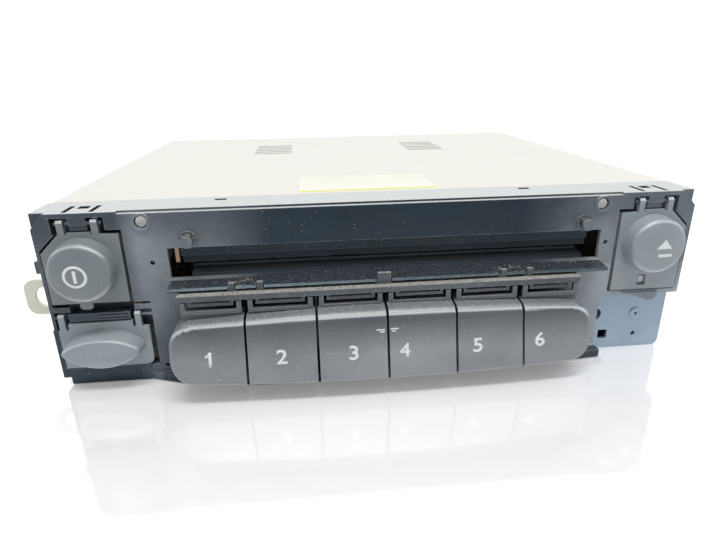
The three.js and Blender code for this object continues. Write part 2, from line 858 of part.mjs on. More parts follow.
function keyFrameSpan(index) {
  const left = index === 0 ? -frameOuterX : keyCentre(index) - keyPitch / 2 + teeGap / 2;
  const right = index === keyCount - 1 ? frameOuterX : keyCentre(index) + keyPitch / 2 - teeGap / 2;
  return [left, right];
}

function keyRail() {
  const bottom = -hingeDrop + fitGap / 2;
  const top = -railTopDrop;
  const strip = box(-railHalfWidth, railHalfWidth, -railFrontReach, -railBackReach, bottom, top);
  const ribs = keyIndexes.map((index) => {
    const [left, right] = keyFrameSpan(index);
    const [x0, x1] = [left + legWidth + ribInset, right - legWidth - ribInset];
    const ribTop = -ribBottomDrop + ribThickness;
    const ends = [[x0, x0 + ribThickness], [x1 - ribThickness, x1]];
    return join(
      box(x0, x1, -ribReach, -ribReach + ribThickness, -ribBottomDrop, ribTop),
      ends.map(([e0, e1]) => box(e0, e1, -ribReach, -ribReach + ribThickness, -ribBottomDrop, top)));
  });
  const hooks = hookPlaces().map(([x, width]) => {
    const hookTop = width === centreHookWidth ? -centreHookTopDrop : -hookTopDrop;
    return box(x - width / 2, x + width / 2, -ledgeReach - hookThickness / 2,
      -ledgeReach + hookThickness / 2, bottom, hookTop);
  });
  return join(strip, ribs, hooks);
}

piece(front, 'key_rail', keyRail(), 'blackPlastic');

// Keys: slices of one crowned row, each hollow behind, on two legs under the rail

function rowOutline(inset) {
  const half = rowWidth / 2 - inset;
  const topEnd = -rowTopDrop - rowTopCrown - inset;
  const bottomEnd = -rowBottomDrop + rowBottomCrown + inset;
  const radius = rowCornerRadius - inset;
  const shape = new THREE.Shape();
  shape.moveTo(-half + radius, bottomEnd);
  shape.quadraticCurveTo(0, bottomEnd - 2 * rowBottomCrown, half - radius, bottomEnd);
  shape.absarc(half - radius, bottomEnd + radius, radius, -Math.PI / 2, 0);
  shape.lineTo(half, topEnd - radius);
  shape.absarc(half - radius, topEnd - radius, radius, 0, Math.PI / 2);
  shape.quadraticCurveTo(0, topEnd + 2 * rowTopCrown, -half + radius, topEnd);
  shape.absarc(-half + radius, topEnd - radius, radius, Math.PI / 2, Math.PI);
  shape.lineTo(-half, bottomEnd + radius);
  shape.absarc(-half + radius, bottomEnd + radius, radius, Math.PI, Math.PI * 3 / 2);
  return shape;
}

// How far a point of the row is moved forward by the bow and back by the lean
function rowPush(x, z, forward) {
  const across = x / (rowWidth / 2);
  const lean = capTiltShare * (z + rowTopDrop + rowTopCrown);
  return (lean - capBow * (1 - across * across)) * Math.min(Math.max(forward, 0) / capWall, 1);
}

// The middle of the row's top slopes down to the front, and its face leans and bows
function shapeCap(solid) {
  const geometry = toGeometry(solid);
  const places = geometry.attributes.position;
  const middle = -(rowTopDrop + rowBottomDrop) / 2;
  for (let i = 0; i < places.count; i += 1) {
    const x = places.getX(i);
    const y = places.getY(i);
    const across = x / (rowWidth / 2);
    const forward = -capBackReach - y;
    const slope = places.getZ(i) > middle ? capTopSlopeShare * (1 - across * across) : 0;
    const z = places.getZ(i) - slope * Math.max(forward, 0);
    places.setXYZ(i, x, y + rowPush(x, z, forward), z);
  }
  return toSolid(geometry);
}

function rowSolid(inset, y0, y1, edge, steps) {
  const geometry = extrude(rowOutline(inset), y1 - y0 - edge, {
    bevelEnabled: true, bevelThickness: edge, bevelSize: edge, bevelOffset: -edge,
    bevelSegments: steps, curveSegments: rowCurveSegments,
  });
  geometry.rotateX(Math.PI / 2);
  geometry.translate(0, y1, 0);
  return toSolid(geometry);
}

function keyRow() {
  const back = -capBackReach;
  const outer = rowSolid(0, -capFrontReach, back + capEdge + overrun, capEdge, capEdgeSteps);
  const behind = box(-rowWidth, rowWidth, back, back + rowWidth, -caseHeight, 0);
  const core = rowSolid(capWall, -capFrontReach + capWall, back + capEdge + overrun, capEdge / 2, 1);
  return [cut(outer, behind), core];
}

function keySolid(index, outer, core) {
  const centre = keyCentre(index);
  const half = (keyPitch - keyGap) / 2;
  const isFirst = index === 0;
  const isLast = index === keyCount - 1;
  const left = isFirst ? -rowWidth : centre - half;
  const right = isLast ? rowWidth : centre + half;
  const slab = box(left, right, -rowWidth, rowWidth, -caseHeight, 0);
  const wallSlab = box(isFirst ? left : left + capWall, isLast ? right : right - capWall,
    -rowWidth, rowWidth, -caseHeight, 0);
  const cap = shapeCap(cut(outer.intersect(slab), core.intersect(wallSlab)));
  const [frameLeft, frameRight] = keyFrameSpan(index);
  const legFront = -hingeReach - legThickness / 2;
  const legBack = legFront + legThickness;
  const legTop = -hingeDrop - fitGap / 2;
  const web = box(frameLeft, frameRight, legBack - webThickness, legBack,
    -rowTopDrop - rowTopCrown - capWall - capEdge * 2, -windowBottomDrop);
  const bar = box(frameLeft, frameRight, legFront, legBack,
    -windowBottomDrop - windowBarThickness, -windowBottomDrop);
  const legs = [[frameLeft, frameLeft + legWidth], [frameRight - legWidth, frameRight]].map(
    ([x0, x1]) => box(x0, x1, legFront, legBack, -windowBottomDrop - windowBarThickness, legTop));
  const pusherStart = -capFrontReach + capWall / 2
    + rowPush(centre, -keyPusherDrop, capFrontReach - capBackReach);
  const pusher = rodAlongY(pusherRadius, pusherStart, pusherEnd, centre, -keyPusherDrop);
  return join(cap, web, bar, legs, pusher).translate([-centre, hingeReach, hingeDrop]);
}

const [rowOuter, rowCore] = keyRow();
keyIndexes.forEach((index) => {
  piece(front, 'key_' + (index + 1), keySolid(index, rowOuter, rowCore), 'keyPlastic',
    [keyCentre(index), -hingeReach, -hingeDrop]);
});

// Hinged buttons: a flap on two arms, with a hollow dome and a pusher behind it

function domeProfile(edge) {
  const edgeCentre = [domeRimRadius - edge, domeReach - domeCrown - edge];
  const steps = Array.from({ length: domeEdgeSteps + 1 }, (unused, step) => {
    const angle = step / domeEdgeSteps * Math.PI / 2;
    return [edgeCentre[0] + edge * Math.cos(angle), edgeCentre[1] + edge * Math.sin(angle)];
  });
  return [[0, 0], [domeRadius, 0], ...steps, [edgeCentre[0] / 2, domeReach - domeCrown / 4],
    [0, domeReach]];
}

// Turned, laid forward along -Y and stretched to its two half widths. A tip share
// draws its ends to soft points, and a slope share lowers its top towards the face.
function forwardDome(x, drop, halfWidth, halfHeight, edge, tipShare = 0, slopeShare = 0) {
  const points = domeProfile(edge).map(([radius, height]) => new THREE.Vector2(radius, height));
  const geometry = new THREE.LatheGeometry(points, domeSides);
  geometry.rotateX(Math.PI);
  const places = geometry.attributes.position;
  for (let i = 0; i < places.count; i += 1) {
    const rise = places.getZ(i);
    const steepness = Math.abs(rise) / Math.max(Math.hypot(places.getX(i), rise), weld);
    const slope = rise > 0 ? 1 + slopeShare * places.getY(i) / domeReach : 1;
    places.setZ(i, rise * steepness ** tipShare * slope);
  }
  geometry.scale(halfWidth / domeRadius, 1, halfHeight / domeRadius);
  geometry.translate(x, 0, -drop);
  return toSolid(geometry);
}

function hollowBehind(x, drop, halfWidth, halfHeight) {
  const geometry = new THREE.CylinderGeometry(1, 1, domeShoulderReach + flapThickness, roundSides);
  geometry.scale(halfWidth - domeWall, 1, halfHeight - domeWall);
  geometry.translate(x, -(domeShoulderReach - flapThickness) / 2, -drop);
  return toSolid(geometry);
}

function hingeArm(x, hingeDropHere, flapTop) {
  const plate = box(x - armWidth / 2, x + armWidth / 2, -flapProud, flapThickness - flapProud,
    -flapTop - flapThickness, -hingeDropHere);
  const eye = rodAlongX(eyeRadius, x - armWidth / 2, x + armWidth / 2, flapHingeBack,
    -hingeDropHere);
  const bore = rodAlongX(eyeBore, x - armWidth, x + armWidth, flapHingeBack, -hingeDropHere);
  return cut(join(plate, eye), bore);
}

function upperButton(side, bottomDrop, extras, cutters) {
  const x = side * buttonX;
  const flap = prismY(outline([
    [side * flapInnerX, -bottomDrop], [side * flapOuterX, -bottomDrop],
    [side * flapOuterX, -flapShoulderDrop],
    [side * (flapOuterX - flapShoulderRun), -flapTopDrop],
    [side * flapInnerX, -flapTopDrop],
  ]), -flapProud, flapThickness - flapProud);
  const tab = box(x - flapTabWidth / 2, x + flapTabWidth / 2, -flapProud,
    flapThickness - flapProud, -flapTopDrop, flapTabRise - flapTopDrop);
  const dome = forwardDome(x, buttonDrop, domeRadius, domeRadius, domeEdge);
  const hollow = hollowBehind(x, buttonDrop, domeRadius, domeRadius);
  const pusher = rodAlongY(pusherRadius, -domeShoulderReach, pusherEnd, x, -buttonDrop);
  const arms = [-armSpacing / 2, armSpacing / 2].map((offset) =>
    hingeArm(x + offset, flapHingeDrop, flapTopDrop));
  return join(cut(join(flap, tab, dome, extras), hollow, cutters), pusher, arms)
    .translate([-x, -flapHingeBack, flapHingeDrop]);
}

const stopTabX = -buttonX - stopTabOffset;
const stopTab = prismY(roundedRectangle(stopTabX - stopTabWidth / 2, stopTabX + stopTabWidth / 2,
  -stopTabDrop, -powerFlapDrop + flapThickness, stopTabWidth / 4),
-flapProud, flapThickness - flapProud);
piece(front, 'power_button', upperButton(-1, powerFlapDrop, [stopTab], []), 'keyPlastic',
  [-buttonX, flapHingeBack, -flapHingeDrop]);

const flapWindowX = buttonX - flapWindowOffset;
const flapWindow = box(flapWindowX - flapWindowWidth / 2, flapWindowX + flapWindowWidth / 2,
  -overrun, flapThickness + overrun, -flapWindowTopDrop - flapWindowHeight, -flapWindowTopDrop);
piece(front, 'eject_button', upperButton(1, ejectFlapDrop, [], [flapWindow]), 'keyPlastic',
  [buttonX, flapHingeBack, -flapHingeDrop]);

function lowerButton() {
  const shape = new THREE.Shape();
  shape.moveTo(-lowerFlapOuterX, -lowerFlapTopDrop);
  shape.lineTo(-lowerFlapOuterX, -lowerFlapBottomDrop);
  shape.lineTo(-lowerFlapInnerX - lowerFlapCorner, -lowerFlapBottomDrop);
  shape.quadraticCurveTo(-lowerFlapInnerX, -lowerFlapBottomDrop,
    -lowerFlapInnerX, lowerFlapCorner - lowerFlapBottomDrop);
  shape.lineTo(-lowerFlapInnerX, -lowerFlapTopDrop);
  const flap = prismY(shape, -flapProud, flapThickness - flapProud);
  const tab = box(armWidth - lowerArmOuterX, -lowerArmInnerX - armWidth, -flapProud,
    flapThickness - flapProud, -lowerFlapTopDrop, lowerTabRise - lowerFlapTopDrop);
  const dome = forwardDome(-lowerX, lowerDrop, lowerHalfWidth, lowerHalfHeight, lowerEdge,
    lowerTipShare, lowerTopSlopeShare);
  const hollow = hollowBehind(-lowerX, lowerDrop, lowerHalfWidth,
    lowerHalfHeight * (1 - lowerTopSlopeShare));
  const pusher = rodAlongY(pusherRadius, -domeShoulderReach, pusherEnd, -lowerX, -lowerDrop);
  const arms = [-lowerArmOuterX, -lowerArmInnerX].map((x) =>
    hingeArm(x, lowerHingeDrop, lowerFlapTopDrop));
  return join(cut(join(flap, tab, dome), hollow), pusher, arms)
    .translate([lowerX, -flapHingeBack, lowerHingeDrop]);
}

piece(front, 'lower_button', lowerButton(), 'keyPlastic', [-lowerX, flapHingeBack, -lowerHingeDrop]);

// Key board, notched for the disc, and one switch behind each button

function keyBoard() {
  const wingLeft = slotLeft - boardWingInset;
  const wingRight = slotRight + boardWingInset;
  const shape = outline([
    [-boardHalfWidth, -frameHeight - boardFootReach], [boardHalfWidth, -frameHeight - boardFootReach],
    [boardHalfWidth, -boardWingDrop], [wingRight, -boardWingDrop], [wingRight, -boardTopDrop],
    [wingLeft, -boardTopDrop], [wingLeft, -boardWingDrop], [-boardHalfWidth, -boardWingDrop],
  ]);
  return prismY(shape, boardBack, boardBack + boardThickness);
}

piece(front, 'key_board', keyBoard(), 'boardLaminate');

function tactSwitch() {
  const half = switchSize / 2;
  return join(
    box(-half, half, switchHeight - switchBodyDepth, switchHeight, -half, half),
    rodAlongY(plungerRadius, 0, switchHeight, 0, 0));
}

switchPlaces.forEach(([name, x, drop]) => {
  piece(front, name, tactSwitch(), 'darkPlastic', [x, switchFront, -drop]);
});

// Disc guides behind the slot, and the leaf that senses a disc

function upperGuide() {
  const left = slotLeft + guideInset;
  const right = slotRight - guideInset;
  const start = sheetBack + fitGap;
  const roof = -guideRoofDrop;
  const roofEnd = start + guideRoofDepth;
  return prismX(outline([
    [start, roof], [start, -guideLipDrop], [start + guideLipThickness, -guideLipDrop],
    [start + guideLipThickness, roof - guideLipThickness],
    [start + guideLipThickness * 2, roof - guideLipThickness],
    [start + guideLipThickness * 2, -guideLipDrop + guideLipStep],
    [start + guideLipThickness * 3, -guideLipDrop + guideLipStep],
    [start + guideLipThickness * 3, roof - guideLipThickness], [roofEnd, roof - guideLipThickness],
    [roofEnd, roof],
  ]), left, right);
}

piece(front, 'upper_disc_guide', upperGuide(), 'darkPlastic');

// The floor rises from the slot to a crest that lifts the disc onto the roller
function lowerGuide() {
  const left = slotLeft + guideFloorLeftInset;
  const right = slotRight - guideFloorRightInset;
  const start = sheetBack + fitGap;
  const end = start + guideFloorDepth;
  const crest = guideRampRise - guideFloorDrop;
  return prismX(outline([
    [start, -guideFloorDrop - guideFloorThickness], [end, -guideFloorDrop - guideFloorThickness],
    [end, crest], [start + guideRampRun, crest], [start, -guideFloorDrop],
  ]), left, right);
}

piece(front, 'lower_disc_guide', lowerGuide(), 'blackPlastic');

function senseLeaf() {
  const right = slotLeft + guideInset - fitGap;
  const start = sheetBack + fitGap;
  return box(right - leafWidth, right, start, start + leafThickness, -leafBottomDrop, -leafTopDrop);
}

piece(front, 'disc_sense_leaf', senseLeaf(), 'bronze');

// Front sheet of the case, cut away for the trays, the slot and the pushers

function caseFrontSheet() {
  const half = caseWidth / 2;
  const panel = prismY(roundedRectangle(-half, half, -caseHeight, -flangeThickness - fitGap,
    caseCorner), sheetFront, sheetBack);
  const from = sheetFront - overrun;
  const to = sheetBack + overrun;
  const pusherHalf = keyPitch * (keyCount - 1) / 2 + keyWindowSize / 2;
  const cutters = [
    ...trayBlocks.map(([x0, x1, z0, z1]) =>
      box(x0 - fitGap, x1 + fitGap, from, to, z0 - fitGap, z1 + fitGap)),
    box(slotLeft - sheet, slotRight + sheet, from, to, -slotBottomDrop - sheet,
      -slotTopDrop + sheet),
    box(-pusherHalf, pusherHalf, from, to, -keyPusherDrop - keyWindowSize / 2,
      -keyPusherDrop + keyWindowSize / 2),
    box(cutawayX + squareHoleOffset - squareHoleSize / 2,
      cutawayX + squareHoleOffset + squareHoleSize / 2, from, to,
      -squareHoleDrop - squareHoleSize / 2, -squareHoleDrop + squareHoleSize / 2),
    rodAlongY(diamondHoleRadius, from, to, cutawayX + diamondHoleOffset, -diamondHoleDrop, 4),
    ...bossPlaces.filter(([, , start]) => start === plateThickness).map(([x, drop]) =>
      rodAlongY(boardBossRadius + fitGap, from, to, x, -drop)),
  ];
  const rings = [
    [cutawayX + pressedRingOffset, pressedRingDrop, pressedRingRadius, pressedRingEye],
    [cutawayX, pressedEyeDrop, pressedEyeRadius, pressedEyeBore],
  ];
  const pressings = rings.map(([x, drop, radius]) =>
    rodAlongY(radius, sheetFront - pressedRingReach, sheetBack, x, -drop, roundSides));
  const eyes = rings.map(([x, drop, , bore]) => rodAlongY(bore, from, to, x, -drop));
  const underPlate = box(-half, cutawayX + fitGap, from, sheetFront, -caseHeight, 0);
  return cut(join(cut(panel, cutters), pressings), eyes, underPlate);
}

piece(front, 'case_front', caseFrontSheet(), 'caseFrontSteel');

// Case: a folded tub, a cover whose sides lap over it, and a back panel

const damperX = deckHalfWidth - damperInset;
const damperBackY = deckBackY - damperBackInset;
const damperPlaces = [
  ['damper_front_left', -damperX, -damperFrontY],
  ['damper_front_right', damperX, -damperFrontY],
  ['damper_back_left', -damperX, damperBackY],
  ['damper_back_right', damperX, damperBackY],
];
const driveOrigin = [slotCentreX, plateFront + spindleDepth];
const pillarPlaces = damperPlaces.map(([, x, y]) => [driveOrigin[0] + x, driveOrigin[1] + y]);
const tubFront = plateFront + sheetBack + fitGap;
const damperBottom = discPlane + deckLevel - fitGap - damperHeight;

function caseTub() {
  const half = caseWidth / 2;
  const wallTop = coverLevel - fitGap;
  const shell = join(
    box(-half, half, tubFront, caseBack, 0, sheet),
    box(-half, -half + sheet, tubFront, caseBack, 0, wallTop),
    box(half - sheet, half, tubFront, caseBack, 0, wallTop));
  const shoulder = box(-half - overrun, half + overrun, tubFront - overrun,
    plateFront + flangeDepth + fitGap, caseHeight - flangeThickness - fitGap, caseHeight);
  const vents = Array.from({ length: sideVentCount }, (unused, index) => {
    const y = (index - (sideVentCount - 1) / 2) * sideVentPitch;
    return box(-half - overrun, half + overrun, y - sideVentLength / 2, y + sideVentLength / 2,
      sideVentLevel - sideVentHeight / 2, sideVentLevel + sideVentHeight / 2);
  });
  const trayNotches = trayBlocks.map(([x0, x1, z0, z1]) =>
    box(x0 - fitGap, x1 + fitGap, tubFront - overrun, plateFront + trayBack + fitGap,
      caseHeight + z0 - fitGap, caseHeight + z1 + fitGap));
  const pillars = pillarPlaces.map(([x, y]) =>
    rodAlongZ(pillarRadius, 0, damperBottom - fitGap, x, y));
  const spacers = spacerPlaces().map(([x, y]) =>
    rodAlongZ(spacerRadius, 0, mainBoardLevel - fitGap, x, y));
  return join(cut(shell, shoulder, trayNotches, vents), pillars, spacers);
}

function spacerPlaces() {
  const x = mainBoardHalf - spacerRadius * 2;
  return [-x, x].flatMap((px) => [
    [px, caseFront + mainBoardSetback + spacerRadius * 2], [px, mainBoardBack - spacerRadius * 2]]);
}

piece(radio, 'case_tub', caseTub(), 'zincSteel');

function topCover() {
  const half = caseWidth / 2;
  const start = plateFront + flangeDepth + fitGap;
  const lipOuter = half + fitGap + sheet;
  const lid = box(-lipOuter, lipOuter, start, caseBack, coverLevel, caseHeight);
  const lips = [-1, 1].map((side) => {
    const edges = [side * (half + fitGap), side * lipOuter];
    return box(Math.min(...edges), Math.max(...edges), start + coverLipInset,
      caseBack - coverLipInset, coverLevel - coverLipDrop, caseHeight);
  });
  const vents = [-1, 1].flatMap((side) => Array.from({ length: ventRows }, (unused, index) => {
    const x = side * ventCentreX;
    const y = ventStartY + index * ventPitch;
    return box(x - ventLength / 2, x + ventLength / 2, y - ventWidth / 2, y + ventWidth / 2,
      coverLevel - overrun, caseHeight + overrun);
  }));
  return cut(join(lid, lips), vents);
}

piece(radio, 'top_cover', topCover(), 'zincSteel');

function backPanel() {
  const half = caseWidth / 2 - sheet - fitGap;
  const panel = box(-half, half, caseBack - sheet, caseBack, sheet + fitGap, coverLevel - fitGap);
  const from = caseBack - sheet - overrun;
  const to = caseBack + overrun;
  const plugHole = box(connectorX - connectorWidth / 2 - fitGap,
    connectorX + connectorWidth / 2 + fitGap, from, to,
    connectorLevel - connectorHeight / 2 - fitGap, connectorLevel + connectorHeight / 2 + fitGap);
  const aerialHole = rodAlongY(aerialRadius + fitGap, from, to, aerialX, aerialLevel, roundSides);
  return cut(panel, plugHole, aerialHole);
}

piece(radio, 'back_panel', backPanel(), 'zincSteel');

// Mounting ear: a foot on the left wall and a rounded ear with a screw hole

function mountingEar() {
  const wall = -caseWidth / 2 - fitGap;
  const earFront = plateFront + flangeDepth + fitGap;
  const top = caseHeight - earTopDrop;
  const tip = wall - earReach;
  const ear = roundedRectangle(tip, wall + earCorner, top - earHeight, top, earCorner);
  const plate = cut(prismY(ear, earFront, earFront + earThickness),
    box(wall, wall + earCorner * 2, earFront - overrun, earFront + earThickness + overrun,
      top - earHeight - overrun, top + overrun));
  const foot = box(wall - earThickness, wall, earFront, earFront + earFootLength,
    top - earHeight, top);
  const hole = rodAlongY(earHoleRadius, earFront - overrun, earFront + earThickness + overrun,
    tip + earHoleInset, top - earHeight / 2, roundSides);
  return cut(join(plate, foot), hole);
}

piece(radio, 'mounting_ear', mountingEar(), 'zincSteel');

// Deck: a sheet plate with lugs for the rods, brackets for the roller and clamp ears

const rollerAxis = -platterDrop - rollerRadius;
const rollerHalf = bracketX - rollerEndGap;
const rodAxis = -rodDrop;

function deckPlate() {
  const plate = box(-deckHalfWidth, deckHalfWidth, -deckFrontY, deckBackY, deckLevel, deckTop);
  const opening = box(-deckOpeningWidth / 2, deckOpeningWidth / 2, deckOpeningStart,
    deckBackY - deckOpeningBackGap, deckLevel - overrun, deckTop + overrun);
  const lugTop = rodAxis + rodLugWidth / 2;
  const lugs = [-rodX, rodX].flatMap((x) => [
    [rodFront - fitGap - rodLugThickness], [rodBack + fitGap]].map(([y]) =>
    box(x - rodLugWidth / 2, x + rodLugWidth / 2, y, y + rodLugThickness, deckLevel, lugTop)));
  const brackets = [-bracketX, bracketX].map((x) => {
    const blank = box(x - sheet / 2, x + sheet / 2, -rollerY - bracketWidth / 2 + sheet,
      -rollerY + bracketWidth / 2, deckLevel, rollerAxis + bracketWidth / 2 - sheet);
    return cut(blank, rodAlongX(rodBore, x - sheet, x + sheet, -rollerY, rollerAxis));
  });
  const earX = clampWidth / 2 + fitGap + sheet / 2;
  const ears = [-earX, earX].map((x) =>
    box(x - sheet / 2, x + sheet / 2, clampHingeY - clampEyeRadius, clampHingeY + clampEyeRadius,
      deckLevel, clampHingeRise + clampEyeRadius));
  const pin = rodAlongX(clampPinRadius, -earX, earX, clampHingeY, clampHingeRise);
  return join(cut(plate, opening), lugs, brackets, ears, pin);
}

piece(drive, 'deck_plate', deckPlate(), 'bareSteel');

function damper() {
  return turnedAboutZ([
    [0, 0], [damperRadius, 0], [damperRadius, damperHeight / 4], [damperWaist, damperHeight / 2],
    [damperRadius, damperHeight * 3 / 4], [damperRadius, damperHeight], [0, damperHeight],
  ], smallSides);
}

damperPlaces.forEach(([name, x, y]) => {
  piece(drive, name, damper(), 'rubber', [x, y, damperBottom - discPlane]);
});

// Spindle motor, turntable and the clamp that holds the disc on it

function spindleMotor() {
  const body = rodAlongZ(spindleMotorRadius, 0, spindleMotorHeight, 0, 0, roundSides);
  return cut(body, rodAlongZ(spindleBore, spindleMotorHeight / 2, spindleMotorHeight + overrun,
    0, 0));
}

piece(drive, 'spindle_motor', spindleMotor(), 'bareSteel', [0, 0, deckTop + fitGap]);

function turntable() {
  const top = -platterDrop;
  const shaftEnd = deckTop + fitGap + spindleMotorHeight / 2 + fitGap;
  return turnedAboutZ([
    [0, shaftEnd], [spindleRadius, shaftEnd], [spindleRadius, top - platterThickness],
    [platterRadius, top - platterThickness], [platterRadius, top], [hubRadius, top],
    [hubRadius - hubRise / 2, top + hubRise], [0, top + hubRise],
  ]);
}

piece(drive, 'turntable', turntable(), 'darkPlastic');

const puckBottom = hubRise - platterDrop + fitGap;

function clampPuck() {
  const stem = puckBottom + puckThickness;
  const head = clampHeight + sheet + fitGap;
  return turnedAboutZ([
    [0, puckBottom], [puckRadius, puckBottom], [puckRadius, stem], [puckStemRadius, stem],
    [puckStemRadius, head], [puckHeadRadius, head], [puckHeadRadius, head + puckHeadThickness],
    [0, head + puckHeadThickness],
  ]);
}

piece(drive, 'clamp_puck', clampPuck(), 'darkPlastic');

function clampArm() {
  const nose = -puckRadius;
  const blade = prismZ(outline([
    [-clampNoseWidth / 2, nose], [clampNoseWidth / 2, nose],
    [clampWidth / 2, puckRadius], [clampWidth / 2, clampHingeY],
    [-clampWidth / 2, clampHingeY], [-clampWidth / 2, puckRadius],
  ]), clampHeight, clampHeight + sheet);
  const eyes = [-1, 1].map((side) => {
    const edges = [side * clampWidth / 2, side * (clampWidth / 2 - sheet)];
    return join(
      rodAlongX(clampEyeRadius, Math.min(...edges), Math.max(...edges), clampHingeY,
        clampHingeRise),
      box(Math.min(...edges), Math.max(...edges), clampHingeY - clampEyeRadius * 2, clampHingeY,
        clampHingeRise, clampHeight + sheet));
  });
  const bore = rodAlongX(clampPinBore, -clampWidth, clampWidth, clampHingeY, clampHingeRise);
  const puckHole = rodAlongZ(puckStemRadius + fitGap, clampHeight - overrun,
    clampHeight + sheet + overrun, 0, 0);
  return cut(join(blade, eyes), bore, puckHole)
    .translate([0, -clampHingeY, -clampHingeRise]);
}

piece(drive, 'clamp_arm', clampArm(), 'bareSteel', [0, clampHingeY, clampHingeRise]);

// Laser sled on two rods, moved by a lead screw

function pickupSled() {
  const top = -sledDrop;
  const back = sledFront + sledLength;
  const block = box(-sledLeft, sledRight, sledFront, back, top - sledThickness, top);
  const bores = [-rodX, rodX, screwX].map((x) =>
    rodAlongY(rodBore, sledFront - overrun, back + overrun, x, rodAxis));
  const middle = sledFront + sledLength / 2;
  const well = rodAlongZ(lensRadius + fitGap, top - lensHeight, top + overrun, 0, middle,
    roundSides);
  return cut(block, bores, well).translate([0, -middle, 0]);
}

const sledMiddle = sledFront + sledLength / 2;
piece(drive, 'pickup_sled', pickupSled(), 'aluminium', [0, sledMiddle, 0]);
piece(drive, 'pickup_lens', turnedAboutZ([
  [0, 0], [lensRadius, 0], [lensRadius, lensHeight / 2], [lensRadius / 2, lensHeight],
  [0, lensHeight + fitGap],
]), 'lensGlass', [0, sledMiddle, -sledDrop - lensHeight + fitGap]);

[['guide_rod_left', -rodX], ['guide_rod_right', rodX]].forEach(([name, x]) => {
  piece(drive, name, rodAlongY(rodRadius, rodFront, rodBack, 0, 0), 'bareSteel', [x, 0, rodAxis]);
});

piece(drive, 'lead_screw', rodAlongY(rodRadius, rodFront - fitGap, rodBack, 0, 0), 'bareSteel',
  [screwX, 0, rodAxis]);
piece(drive, 'sled_motor', rodAlongY(sledMotorRadius, rodFront - fitGap * 2 - sledMotorLength,
  rodFront - fitGap * 2, 0, 0, roundSides), 'bareSteel', [screwX, 0, rodAxis]);

// Loading roller with its pulley, belt and motor

piece(drive, 'roller_shaft', join(
  rodAlongX(rollerShaftRadius, -bracketX - rollerShaftReach, bracketX + sheet, 0, 0),
  rodAlongX(rollerPulleyRadius, -pulleyX - pulleyWidth / 2, -pulleyX + pulleyWidth / 2, 0, 0,
    roundSides)), 'bareSteel', [0, -rollerY, rollerAxis]);

function rollerSleeve() {
  const bore = rollerShaftRadius + fitGap;
  const tube = turnedAboutZ([
    [bore, -rollerHalf], [rollerRadius, -rollerHalf], [rollerWaist, 0], [rollerRadius, rollerHalf],
    [bore, rollerHalf], [bore, -rollerHalf],
  ]);
  return tube.rotate([0, 90, 0]);
}

piece(drive, 'roller_sleeve', rollerSleeve(), 'rubber', [0, -rollerY, rollerAxis]);

const loadMotorAxis = [-loadMotorY, deckTop + fitGap + loadMotorRadius];
piece(drive, 'loading_motor', rodAlongX(loadMotorRadius, -bracketX + sheet,
  -bracketX + sheet + loadMotorLength, 0, 0, roundSides), 'bareSteel', [0, ...loadMotorAxis]);
piece(drive, 'motor_pulley', join(
  rodAlongX(motorPulleyRadius, -pulleyX - pulleyWidth / 2, -pulleyX + pulleyWidth / 2, 0, 0,
    roundSides),
  rodAlongX(rollerShaftRadius / 2, -pulleyX, -bracketX + sheet - fitGap, 0, 0)),
'darkPlastic', [0, ...loadMotorAxis]);

// The belt's outline runs round both pulleys on their common outer tangents
function beltOutline(Kind, offset) {
  const centres = [[-rollerY, rollerAxis], loadMotorAxis];
  const radii = [rollerPulleyRadius + offset, motorPulleyRadius + offset];
  const along = Math.atan2(centres[1][1] - centres[0][1], centres[1][0] - centres[0][0]);
  const distance = Math.hypot(centres[1][0] - centres[0][0], centres[1][1] - centres[0][1]);
  const lead = Math.acos((radii[0] - radii[1]) / distance);
  const loop = new Kind();
  loop.absarc(...centres[0], radii[0], along + lead, along - lead + Math.PI * 2);
  loop.absarc(...centres[1], radii[1], along - lead, along + lead);
  return loop;
}

function driveBelt() {
  const shape = beltOutline(THREE.Shape, fitGap + beltThickness);
  shape.holes.push(beltOutline(THREE.Path, fitGap));
  return prismX(shape, -pulleyX - pulleyWidth / 4, -pulleyX + pulleyWidth / 4);
}

piece(drive, 'drive_belt', driveBelt(), 'rubber');

// Main board and what stands on it

function mainBoard() {
  const board = box(-mainBoardHalf, mainBoardHalf, caseFront + mainBoardSetback, mainBoardBack,
    mainBoardLevel, boardTop);
  return cut(board, pillarPlaces.map(([x, y]) =>
    rodAlongZ(pillarRadius + fitGap, mainBoardLevel - overrun, boardTop + overrun, x, y)));
}

piece(radio, 'main_board', mainBoard(), 'boardLaminate');

function tunerCan() {
  const half = tunerWidth / 2;
  const length = tunerLength / 2;
  const can = box(-half, half, -length, length, 0, tunerHeight - canFold);
  const lid = box(-half + canFold, half - canFold, -length + canFold, length - canFold,
    0, tunerHeight);
  return join(can, lid);
}

piece(radio, 'tuner_can', tunerCan(), 'zincSteel',
  [tunerInset + tunerWidth / 2 - mainBoardHalf, tunerY, boardTop + fitGap]);
piece(radio, 'capacitor', turnedAboutZ([
  [0, 0], [capacitorRadius, 0], [capacitorRadius, canFold], [capacitorRadius - canFold / 2, canFold * 2],
  [capacitorRadius, canFold * 3], [capacitorRadius, capacitorHeight],
  [0, capacitorHeight],
]), 'darkPlastic',
[mainBoardHalf - capacitorRadius - capacitorInset, capacitorY, boardTop + fitGap]);

// The amplifier stands on its row of legs with its back to the back panel
function amplifier() {
  const half = ampWidth / 2;
  const body = box(-half, half, -ampThickness, 0, ampLegSize * 2, ampHeight);
  const pitch = ampWidth / ampLegs;
  const legs = Array.from({ length: ampLegs }, (unused, index) => {
    const x = (index - (ampLegs - 1) / 2) * pitch;
    return box(x - ampLegSize / 2, x + ampLegSize / 2, -ampThickness, -ampThickness + ampLegDepth,
      0, ampLegSize * 3);
  });
  return join(body, legs);
}

